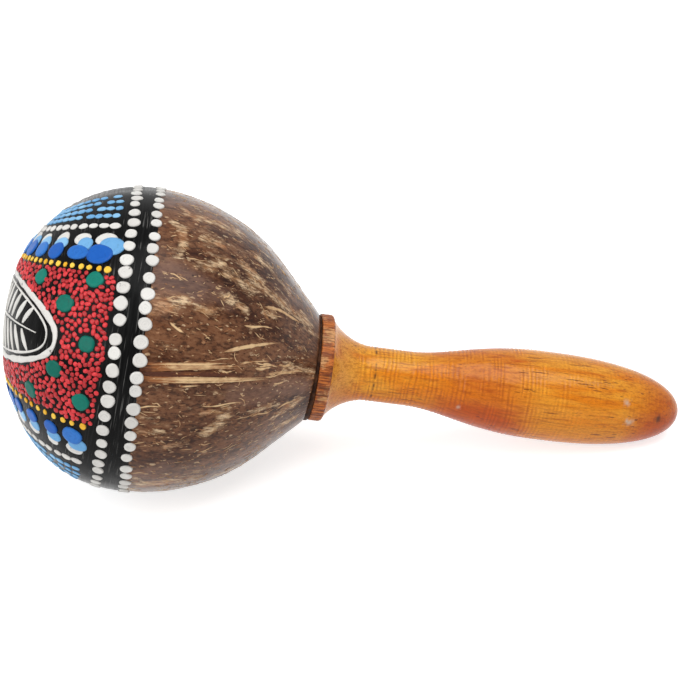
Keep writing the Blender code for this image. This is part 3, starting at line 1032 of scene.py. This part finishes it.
def lay_slivers(fibres, chance):
    """Single fibres along the nut: those of the near side, again on the other sides, and some at random."""
    for turn in ZONE_TURNS:
        for start, end, first_angle, last_angle, half_width in SLIVERS:
            angles = (math.radians(first_angle + turn), math.radians(last_angle + turn))
            add_fibre(fibres, chance, (start * MM, end * MM), angles, half_width * MM, 0.2 * MM)
    for _ in range(LOOSE_SLIVERS):
        start = chance.uniform(2, 46) * MM
        angle = chance.uniform(0, 2 * math.pi)
        angles = (angle, angle + math.radians(chance.uniform(-2, 3)))
        stations = (start, start + chance.uniform(2, 9) * MM)
        add_fibre(fibres, chance, stations, angles, chance.uniform(0.08, 0.25) * MM, 0.25 * MM)


def lay_chips(fibres, chance):
    """Ends of fibres, strewn over the bare shell."""
    for _ in range(CHIPS):
        angle = chance.uniform(0, 2 * math.pi)
        spot = turned_points(np.array(length_at(chance.uniform(3, 54) * MM)), np.array(angle))
        if off_axis(spot) < chance.uniform(0, SHELL_RADIUS):
            continue
        heading = AXIS + np.array([0, chance.gauss(0, 0.35), chance.gauss(0, 0.35)])
        half_length = 0.25 * MM + chance.expovariate(2.4 / MM)
        half_width = chance.uniform(0.07, 0.17) * MM
        add_dab(fibres, chance, spot, heading, half_length, half_width, FIBRE_HEIGHT, -COAT_THICKNESS,
                sides=8, profile=CHIP_PROFILE)


def lay_fibres(material):
    """Fibres of the husk that show in the sanded shell, with strands of painted shade between bundles."""
    chance = random.Random(23)
    fibres = Marks()
    for ridge in RIDGE_ANGLES:
        lay_bundles(fibres, chance, ridge)
    lay_slivers(fibres, chance)
    for _ in range(CURLS):
        add_curl(fibres, chance, chance.uniform(0, 2 * math.pi), chance.uniform(6, 48) * MM)
    lay_chips(fibres, chance)
    fibres.build("husk_fibres", material, "shell")


def along_path(path, at):
    """Points at distances along a path, and the direction of the path there."""
    lengths = lengths_along(path)
    points = np.column_stack([np.interp(at, lengths, path[:, axis]) for axis in range(3)])
    ahead = np.column_stack([np.interp(at, lengths, np.gradient(path[:, axis])) for axis in range(3)])
    return points, unit(ahead)


def spaced(path, pitch, start=0.5):
    """Points at an even pitch along a path, and the direction of the path there."""
    length = lengths_along(path)[-1]
    count = round(length / pitch)
    return along_path(path, (np.arange(count) + start) * length / count)


def row_path(distance, side):
    """Path of a painted row over the crown, from the left ring in front to the left ring behind."""
    forward = np.linspace(PAINT_REACH, -PAINT_REACH, 400)
    sideways = row_distance(distance, side, forward)
    inside = np.hypot(forward, sideways) < PAINT_REACH
    return crown_spots(forward[inside], sideways[inside])


def paint_ring(marks, chance, ring):
    """Ring of white dots round the girth."""
    middle, tilt = ring
    for number in range(RING_DOTS):
        angle = (number + chance.uniform(-0.12, 0.12)) * 2 * math.pi / RING_DOTS
        station = middle - tilt * math.sin(angle) + chance.uniform(-0.3, 0.3) * MM
        spot = turned_points(np.array(length_at(station)), np.array(angle))
        front = max(0.0, math.cos(angle - FIELD_ANGLE))
        size = RING_DOT_SIZE * (0.77 + 0.23 * front ** 2) * chance.uniform(0.90, 1.08)
        add_dab(marks, chance, spot, AXIS, size * chance.uniform(0.94, 1.06), size, 0.40 * MM,
                profile=DISHED_PROFILE)


def paint_row(marks, chance, row, side, pitch, size, height, base=0.0, start=0.5):
    """Row of dots over the crown, the outermost larger. Their size is half their length and half width."""
    points, ahead = spaced(row_path(row, side), pitch, start)
    for number, (spot, heading) in enumerate(zip(points, ahead)):
        placed = spot + chance.uniform(-0.08, 0.08) * pitch * heading
        swell = 1.2 if number in (0, len(points) - 1) else 1.0
        add_dab(marks, chance, placed, heading, swell * size[0] * chance.uniform(0.85, 1.15),
                swell * size[1] * chance.uniform(0.88, 1.1), height, base)


def paint_dashes(marks, chance, distance, side, outer):
    """Row of short dabs from both ends inwards: a few, a gap, and more up to the middle of the crown."""
    path = row_path(distance, side)
    room = lengths_along(path)[-1] / 2 - DASH_GAP - DASH_CLEARANCE
    number = np.arange(int(room / DASH_PITCH))
    at = (number + 0.5) * DASH_PITCH + np.where(number < outer, 0, DASH_GAP)
    for inwards in (path, path[::-1]):
        for spot, heading in zip(*along_path(inwards, at)):
            half_length = chance.uniform(1.2, 1.75) * MM
            add_dab(marks, chance, spot, heading, half_length, chance.uniform(0.95, 1.2) * MM, 0.28 * MM)


def paint_far_row(marks, chance, side):
    """One more row of dots inside the dashes, on the far half of the crown, smaller towards its middle."""
    path = row_path(FAR_ROW, side)
    forward = crown_view(path)[0]
    path = path[np.argsort(forward)][:len(path) // 2]
    points, ahead = spaced(path, 3.4 * MM)
    for number, (spot, heading) in enumerate(zip(points, ahead)):
        size = 1.5 * MM * (1 - 0.5 * number / len(points))
        add_dab(marks, chance, spot, heading, size * chance.uniform(0.95, 1.1), size, 0.30 * MM)


def medallion_share(forward, sideways, margin=0.0):
    """Under 1 inside the medallion in the middle of the crown, with a margin added round it."""
    lengthways = np.abs(forward) / (MEDALLION_LENGTH + margin)
    crossways = np.abs(sideways) / (MEDALLION_WIDTH + margin)
    return lengthways ** MEDALLION_FULLNESS + crossways ** MEDALLION_FULLNESS


def medallion_path(scale):
    """Oval line of the medallion, or one inside it at an even distance."""
    turn = round_angles(220)
    power = 2 / MEDALLION_FULLNESS
    width = MEDALLION_WIDTH - (1 - scale) * MEDALLION_LENGTH
    forward = scale * MEDALLION_LENGTH * signed_power(np.cos(turn), power)
    return crown_spots(forward, width * signed_power(np.sin(turn), power))


def paint_medallion(marks, chance):
    """White fern in a white oval: a stem and pairs of leaves, on the bare black coat."""
    for scale, half_width in ((1.0, 0.95 * MM), (0.945, 0.4 * MM)):
        path = medallion_path(scale)
        waver = noise_over(path, 160)
        add_stroke(marks, path, half_width * (1 + 0.45 * waver), 0.34 * MM, 0.5, closed=True)
    stem = np.linspace(-0.86, 0.86, 90)
    spots = crown_spots(stem * MEDALLION_LENGTH, np.zeros(90))
    add_stroke(marks, spots, 0.55 * MM * (1 - 0.8 * np.abs(stem)), 0.30 * MM, 0.5)
    leaf = np.linspace(0, 1, 16)
    for root in np.linspace(-0.74, 0.70, 15):
        reach = 0.76 * MEDALLION_WIDTH * (1 - abs(root) ** 2.6)
        for side in (-1, 1):
            grown = reach * chance.uniform(0.9, 1.05)
            sideways = side * (0.9 * MM + leaf * grown)
            forward = root * MEDALLION_LENGTH + leaf ** 1.3 * 3.6 * MM
            swell = np.sin(math.pi * np.clip(leaf * 0.92 + 0.06, 0, 1)) ** 0.7
            half_widths = chance.uniform(0.85, 1.1) * MM * swell + 0.06 * MM
            add_stroke(marks, crown_spots(forward, sideways), half_widths, 0.30 * MM, chance.uniform(0, 1))


def green_spots():
    """Green dots of the field, those behind the crown turned half round from those in front."""
    front = np.array(GREEN_DOTS) * MM
    both = np.vstack([front, -front])
    return crown_spots(both[:, 0], both[:, 1])


def stipple_spots(chance):
    """Places for the red dabs: as close as the spacing lets them, clear of what else is in the field."""
    length = np.array([chance.uniform(0, 1) for _ in range(STIPPLE_TRIES)]) ** 0.6 * length_at(FIELD_END)
    angle = np.array([chance.uniform(0, 2 * math.pi) for _ in range(STIPPLE_TRIES)])
    points = turned_points(length, angle)
    forward, sideways = crown_view(points)
    upper = row_distance(YELLOW_ROW, 1, forward) - ROW_CLEARANCE
    lower = row_distance(YELLOW_ROW, -1, forward) + ROW_CLEARANCE
    free = (sideways < upper) & (sideways > lower)
    free &= medallion_share(forward, sideways, MEDALLION_CLEARANCE) > 1
    for green in green_spots():
        free &= np.linalg.norm(points - green, axis=1) > GREEN_CLEARANCE
    taken = {}
    kept = []
    for point in points[free]:
        cell = tuple(np.floor(point / STIPPLE_SPACING).astype(int))
        near = [other for x in (-1, 0, 1) for y in (-1, 0, 1) for z in (-1, 0, 1)
                for other in taken.get((cell[0] + x, cell[1] + y, cell[2] + z), ())]
        if all(np.linalg.norm(point - other) > STIPPLE_SPACING for other in near):
            taken.setdefault(cell, []).append(point)
            kept.append(point)
    return kept


def paint_field(red, green, chance):
    """Red stipple with green dots in it."""
    for spot in green_spots():
        size = chance.uniform(2.3, 2.9) * MM
        add_dab(green, chance, spot, AXIS, size * chance.uniform(0.95, 1.2), size, 0.45 * MM, sides=22)
    for spot in stipple_spots(chance):
        heading = np.array([chance.gauss(0, 1) for _ in range(3)])
        half_length = chance.uniform(0.70, 1.14) * MM
        add_dab(red, chance, spot, heading, half_length, chance.uniform(0.66, 0.82) * MM, 0.44 * MM,
                sides=10, squareness=0.85, profile=BEAD_PROFILE)


def paint_borders(white, yellow, blue, light_blue, chance):
    """Rows on both sides of the field: yellow, blue over light blue over white, white, and dashes."""
    for side in (1, -1):
        small = (0.88 * MM, 0.96 * MM)
        paint_row(yellow, chance, YELLOW_ROW, side, YELLOW_PITCH[side], small, 0.32 * MM)
        size = LARGE_DOT_SIZE[side]
        large_rows = ((white, LARGE_WHITE_ROW, (3.0 * size, 2.6 * size), 0.16 * MM, 0.0, 0.40),
                      (light_blue, LIGHT_BLUE_ROW, (3.1 * size, 2.7 * size), 0.17 * MM, 0.14 * MM, 0.20),
                      (blue, BLUE_ROW, (3.6 * size, 3.0 * size), 0.22 * MM, 0.28 * MM, 0.5))
        for marks, row, large, height, base, start in large_rows:
            paint_row(marks, chance, row, side, LARGE_DOT_PITCH, large, height, base, start)
        paint_row(white, chance, WHITE_ROW, side, 3.6 * MM, (1.55 * MM, 1.2 * MM), 0.30 * MM)
        for distance, outer in DASH_ROWS:
            paint_dashes(light_blue, chance, distance, side, outer)
        paint_far_row(white, chance, side)


def build_paint():
    chance = random.Random(7)
    white, yellow, red, green, blue, light_blue = (Marks() for _ in range(6))
    paint_ring(white, chance, RIGHT_RING)
    paint_ring(white, chance, LEFT_RING)
    paint_borders(white, yellow, blue, light_blue, chance)
    paint_medallion(white, chance)
    paint_field(red, green, chance)
    paints = (
        (white, "white_marks", "paint_white", colour(214, 211, 206), colour(226, 224, 219)),
        (yellow, "yellow_dots", "paint_yellow", colour(226, 164, 28), colour(250, 208, 84)),
        (green, "green_dots", "paint_green", colour(0, 95, 81), colour(10, 120, 104)),
        (blue, "blue_dots", "paint_blue", colour(26, 90, 178), colour(52, 120, 200)),
        (light_blue, "light_blue_marks", "paint_light_blue", colour(106, 165, 214),
         colour(138, 190, 228)),
    )
    for marks, name, slot, dark, light in paints:
        marks.build(name, paint_material(slot, dark, light), slot)
    red_paint = paint_material("paint_red", colour(166, 18, 26), colour(214, 48, 54), shine=0.35)
    red.build("red_dabs", red_paint, "paint_red")


# Handle

def bezier(start, start_pull, end_pull, end, count):
    share = np.linspace(0, 1, count)[:, None]
    rest = 1 - share
    return (rest ** 3 * np.array(start) + 3 * rest ** 2 * share * np.array(start_pull)
            + 3 * rest * share ** 2 * np.array(end_pull) + share ** 3 * np.array(end))


def quarter_round(station, radius, size, first_angle):
    angles = first_angle - np.linspace(0, math.pi / 2, ROUNDING_POINTS)
    return np.column_stack([station + size * np.cos(angles), radius + size * np.sin(angles)])


def collar_outline():
    """Outline of the collar from the tenon to where the flare starts."""
    size = COLLAR_FRONT_ROUND
    front = quarter_round(size, COLLAR_RADIUS - size, size, math.pi)
    size = COLLAR_BACK_ROUND
    back = quarter_round(COLLAR_WIDTH - size, COLLAR_RADIUS - size, size, math.pi / 2)
    flat = np.linspace(front[-1], back[0], 9)[1:-1]
    return np.vstack([front, flat, back])


def neck_and_grip_outline():
    """Outline from the collar to the butt, at an even step."""
    start = (COLLAR_WIDTH, COLLAR_RADIUS - COLLAR_BACK_ROUND)
    run = NECK_START - COLLAR_WIDTH
    flare = bezier(start, (COLLAR_WIDTH + 0.14 * run, start[1] - 0.45 * (start[1] - NECK_RADIUS)),
                   (NECK_START - 0.43 * run, NECK_RADIUS), (NECK_START, NECK_RADIUS), 200)
    run = GRIP_START - NECK_END
    swell = bezier((NECK_END, NECK_RADIUS), (NECK_END + 0.30 * run, NECK_RADIUS),
                   (GRIP_START - 0.51 * run, GRIP_RADIUS), (GRIP_START, GRIP_RADIUS), 300)
    run = HANDLE_LENGTH - GRIP_END
    butt = bezier((GRIP_END, GRIP_RADIUS), (GRIP_END + 0.63 * run, GRIP_RADIUS),
                  (HANDLE_LENGTH, 0.61 * GRIP_RADIUS), (HANDLE_LENGTH, 0), 400)
    dense = np.vstack([flare, swell, butt])
    lengths = lengths_along(dense)
    at = np.linspace(0, lengths[-1], round(lengths[-1] / HANDLE_STEP))[1:]
    return np.column_stack([np.interp(at, lengths, dense[:, axis]) for axis in range(2)])


GRIP_OUTLINE = neck_and_grip_outline()


def lathe_chatter(station, angles):
    """Uneven rings that the gouge left, from -1 to 1, in patches on the neck and the swell of the grip."""
    along = station / MM
    strength = smooth_step(along, 9, 16) * (1 - 0.75 * smooth_step(along, 66, 92))
    turns = [(math.cos(angle), math.sin(angle)) for angle in angles]
    wander = noise_over([(0.06 * along, cosine, sine) for cosine, sine in turns], 1.3, 2)
    patch = noise_over([(0.13 * along, 4 + cosine, sine) for cosine, sine in turns], 1.7, 2)
    phase = 2 * math.pi * ((along + 0.5 * wander) / 1.4 + 0.5 * fractal((0.3 * along, 5, 0), 1.0, 2))
    uneven = 0.7 + 0.7 * fractal((0.9 * along, 0, 3), 1.0, 2)
    return strength * uneven * np.sin(phase) * smooth_step(patch, -0.45, 0.35)


def make_grooves(chance):
    """Short grooves across the collar's rim: middle, width, depth, and where each starts and ends."""
    return [((number + chance.uniform(-0.4, 0.4)) * 2 * math.pi / GROOVES, chance.uniform(0.006, 0.016),
             chance.uniform(0.2, 1.0), chance.uniform(-0.4, 0.4), chance.uniform(0.5, 1.3))
            for number in range(GROOVES)]


def groove_depth(grooves, across, angles):
    """Depth of the grooves, from 0 to 1, at a place across the rim."""
    depth = np.zeros(len(angles))
    for middle, width, deepest, start, end in grooves:
        here = deepest * window(across, start - 0.1, start + 0.1, end - 0.1, end + 0.1)
        depth = np.maximum(depth, here * np.exp(-(wrapped(angles - middle) / width) ** 2))
    return depth


def handle_spot(points, station, angle, size):
    """How near points of the handle are to a spot on it, from 0 to 1."""
    radius = np.interp(station * MM, *GRIP_OUTLINE.T)
    middle = round_axis(station * MM, radius, math.radians(angle))
    ragged = noise_over(points, 900)
    away = np.linalg.norm(points - middle, axis=1) * (1 + 0.6 * ragged)
    return np.exp(-(away / (size * MM)) ** 2)


def mark_handle(handle, points):
    """Places that the material tells apart: a scored ring, a knot, scuffs, red and porous stretches.

    The red is stronger on the underside and weaker on top, as painted shade.
    """
    along = points[:, 0] / MM
    angle = angle_of(points)
    ring, half_width = SCORED_RING
    broken = smooth_step(noise_round(angle, 5, 3), -0.25, 0.35)
    scored = np.exp(-((along - ring) / half_width) ** 2) * broken
    give_attribute(handle, "mark", np.maximum(scored, 0.9 * handle_spot(points, *KNOT)))
    give_attribute(handle, "scuff", sum(handle_spot(points, *scuff) for scuff in SCUFFS))
    swell = 1.1 * window(along, 28, 48, 58, 86)
    butt = 1.4 * smooth_step(along, 96, 122)
    grip = 0.3 * smooth_step(along, 60, 80)
    # Redder on the underside and less red on top: painted shade over the red stretches
    low = 0.75 - 0.35 * np.sin(angle)
    give_attribute(handle, "redness", np.maximum(np.maximum(swell, butt), grip) * low)
    porous = window(along, 50, 74, 104, 120) + 0.8 * window(along, 17, 22, 30, 38)
    give_attribute(handle, "pore_amount", porous)
    give_attribute(handle, "flare", smooth_step(along, 17, 7))


def build_handle(material):
    """The turning in one closed skin, finer round the collar, whose worn rim has short grooves."""
    coarse = round_angles(HANDLE_SEGMENTS)
    fine = round_angles(COLLAR_SEGMENTS)
    grooves = make_grooves(random.Random(11))
    rings = []
    details = []

    def add_ring(ring, depth=0.0, rim=0.0, chatter=0.0):
        rings.append(ring)
        columns = np.broadcast_arrays(depth, rim, chatter, np.zeros(len(ring)))
        details.append(np.column_stack(columns[:3]))

    add_ring(np.array([[-TENON_LENGTH, 0, 0]]))
    tenon = ((-TENON_LENGTH, TENON_RADIUS - TENON_CHAMFER), (TENON_CHAMFER - TENON_LENGTH, TENON_RADIUS),
             (-0.5 * TENON_LENGTH, TENON_RADIUS), (-0.05 * MM, TENON_RADIUS))
    for station, radius in tenon:
        add_ring(round_axis(station, radius, coarse))
    for station, radius in collar_outline():
        rim = smooth_step(radius, COLLAR_RADIUS - 1.2 * MM, COLLAR_RADIUS - 0.5 * MM)
        depth = rim * groove_depth(grooves, station / COLLAR_WIDTH, fine)
        worn = np.abs(noise_round(fine, 11, 3, station / (7 * MM)))
        radii = radius - rim * (GROOVE_DEPTH * depth + RIM_WEAR * worn)
        add_ring(round_axis(station, radii, fine), depth, rim)
    for station, radius in GRIP_OUTLINE[:-1]:
        chatter = lathe_chatter(station, coarse) * smooth_step(radius, 0, 4 * MM)
        add_ring(round_axis(station, radius + CHATTER_HEIGHT * chatter, coarse), chatter=chatter)
    add_ring(np.array([[HANDLE_LENGTH, 0, 0]]))
    points, faces = rings_mesh(rings)
    handle = make_piece("handle_turning", points, faces, HANDLE_PLACE, material, slot="handle_wood")
    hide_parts("handle")
    give_attribute(handle, "grain_place", points[:, [1, 2, 0]] / MM)
    for name, values in zip(("groove", "collar", "chatter"), np.vstack(details).T):
        give_attribute(handle, name, values)
    mark_handle(handle, points)


# Section of the glue: shares of the way from the collar to the shell, and from the bore to the outside
GLUE_PROFILE = ((0.04, 0.0), (0.04, 0.97), (0.2, 0.995), (0.5, 1.0), (0.8, 0.995), (0.96, 0.97),
                (0.96, 0.0))


def build_glue(material):
    """Dark bead squeezed out between the sawn end and the collar, fuller below."""
    angles = round_angles(GLUE_SEGMENTS)
    waver = GLUE_WAVER * noise_round(angles, 4, 4)
    outer = GLUE_RADIUS + GLUE_SQUEEZE - GLUE_SAG * np.sin(angles) + waver
    rings = []
    for share, reach in GLUE_PROFILE:
        radii = BORE_RADIUS + reach * (outer - BORE_RADIUS)
        shell_side = (radii * np.sin(angles) + SAWN_END_DROP) * math.tan(SHELL_LEAN) - GLUE_GAP
        rings.append(round_axis(shell_side * share, radii, angles))
    points = np.vstack(rings)
    numbers = np.arange(len(points)).reshape(len(rings), -1).tolist()
    faces = []
    for first, second in zip(numbers, numbers[1:] + numbers[:1]):
        faces += ring_faces(first, second)
    glue = make_piece("glue_bead_skin", points, faces, HANDLE_PLACE, material, slot="glue")
    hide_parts("glue_bead")


# Seeds

def seed_mesh():
    """A dry seed: an egg with a furrow along one side."""
    shape = bmesh.new()
    bmesh.ops.create_uvsphere(shape, u_segments=28, v_segments=18, radius=1.0)
    for vertex in shape.verts:
        x, y, z = vertex.co
        furrow = 0.16 * math.exp(-(x / 0.22) ** 2) * max(0.0, -y)
        lumps = 0.03 * noise.noise(vertex.co * 2.3)
        girth = (0.88 - 0.08 * z) * (1 - furrow + lumps)
        vertex.co = Vector((x * girth, y * girth, z * (1 + lumps) * 0.97))
    points = np.array([vertex.co for vertex in shape.verts])
    faces = [tuple(vertex.index for vertex in face.verts) for face in shape.faces]
    shape.free()
    return points, faces


def build_seeds(material):
    """A seed on each seed's body, each turned its own way."""
    chance = random.Random(3)
    points, faces = seed_mesh()
    for node in sorted(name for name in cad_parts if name.startswith("rattle_seed")):
        low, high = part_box(node)
        radius = (high.x - low.x) / 2
        tipped = Matrix.Rotation(chance.uniform(0, 2 * math.pi), 4, "X")
        spun = Matrix.Rotation(chance.uniform(0, 2 * math.pi), 4, "Z")
        place = Matrix.Translation((low + high) / 2) @ tipped @ spun
        size = radius * chance.uniform(0.93, 0.99)
        seed = make_piece(node + "_skin", points * size, faces, place, material, slot="seed",
                          body=node.replace("rattle_", ""))
        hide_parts(node)


# Floor, lights and camera

def seen_itself(tree):
    """1 for rays that look at the background or mirror it, 0 for the light it sheds."""
    path = add_node(tree, "LightPath")
    seen = calc(tree, "MAXIMUM", path.outputs["Is Camera Ray"], path.outputs["Is Glossy Ray"])
    return calc(tree, "MAXIMUM", seen, path.outputs["Is Transmission Ray"])


def build_floor():
    material, tree, shader = new_material("floor")
    feed(tree, shader, {
        "Base Color": colour(236, 236, 236),
        "Roughness": 0.9,
        "Specular IOR Level": 0.0,
        "Emission Color": WHITE,
        "Emission Strength": product(tree, seen_itself(tree), FLOOR_GLOW),
    })
    mesh = bpy.data.meshes.new("floor")
    corners = [(x * FLOOR_HALF, y * FLOOR_HALF, 0) for x, y in ((-1, -1), (1, -1), (1, 1), (-1, 1))]
    mesh.from_pydata(corners, [], [(0, 1, 2, 3)])
    mesh.materials.append(material)
    floor = bpy.data.objects.new("floor", mesh)
    bpy.context.scene.collection.objects.link(floor)


def build_world():
    """Light of a white sweep behind the shaker and a dimmer room above and before it.

    It is all white where it is seen or mirrored.
    """
    world = bpy.data.worlds.new("studio")
    world.use_nodes = True
    bpy.context.scene.world = world
    tree = world.node_tree
    generated = add_node(tree, "TexCoord").outputs["Generated"]
    direction = add_node(tree, "SeparateXYZ", {"Vector": generated})
    sweep = between(tree, direction.outputs["Z"], 0.16, 0.52, 1.0, ROOM_ABOVE)
    light = product(tree, sweep, between(tree, direction.outputs["Y"], -0.6, 0.3, ROOM_BEFORE, 1.0))
    strength = calc(tree, "MAXIMUM", light, seen_itself(tree))
    feed(tree, tree.nodes["Background"], {"Color": WHITE, "Strength": strength})


def direction_at(azimuth, elevation):
    """Direction away from the shaker, with azimuth 0 in front of it."""
    level = math.cos(elevation)
    return Vector((math.sin(azimuth) * level, -math.cos(azimuth) * level, math.sin(elevation)))


def add_softbox(name, azimuth, elevation, power):
    """Square light that faces the shaker."""
    lamp = bpy.data.lights.new(name, "AREA")
    lamp.shape = "SQUARE"
    lamp.size = SOFTBOX_SIZE
    lamp.energy = power
    light = bpy.data.objects.new(name, lamp)
    bpy.context.scene.collection.objects.link(light)
    towards = direction_at(math.radians(azimuth), math.radians(elevation))
    light.location = CAMERA_TARGET + towards * SOFTBOX_DISTANCE
    light.rotation_mode = "QUATERNION"
    light.rotation_quaternion = towards.to_track_quat("Z", "Y")


def build_camera():
    camera_data = bpy.data.cameras.new("camera")
    camera_data.sensor_width = 36.0
    camera_data.lens = FOCAL_PIXELS * camera_data.sensor_width / IMAGE_SIZE
    camera = bpy.data.objects.new("camera", camera_data)
    bpy.context.scene.collection.objects.link(camera)
    back = direction_at(CAMERA_AZIMUTH, CAMERA_ELEVATION)
    level = Vector((math.cos(CAMERA_AZIMUTH), math.sin(CAMERA_AZIMUTH), 0))
    upright = back.cross(level)
    right = math.cos(CAMERA_ROLL) * level + math.sin(CAMERA_ROLL) * upright
    up = back.cross(right)
    turned = Matrix((right, up, back)).transposed().to_4x4()
    camera.matrix_world = Matrix.Translation(CAMERA_TARGET + back * CAMERA_DISTANCE) @ turned
    bpy.context.scene.camera = camera


def build_stage():
    build_floor()
    build_world()
    for softbox in SOFTBOXES:
        add_softbox(*softbox)
    build_camera()
    bpy.context.scene.view_settings.view_transform = "Standard"


build_stage()
build_shell(coconut_material())
lay_fibres(fibre_material())
build_coat(coat_material())
build_paint()
build_handle(wood_material())
build_glue(glue_material())
build_seeds(seed_material())
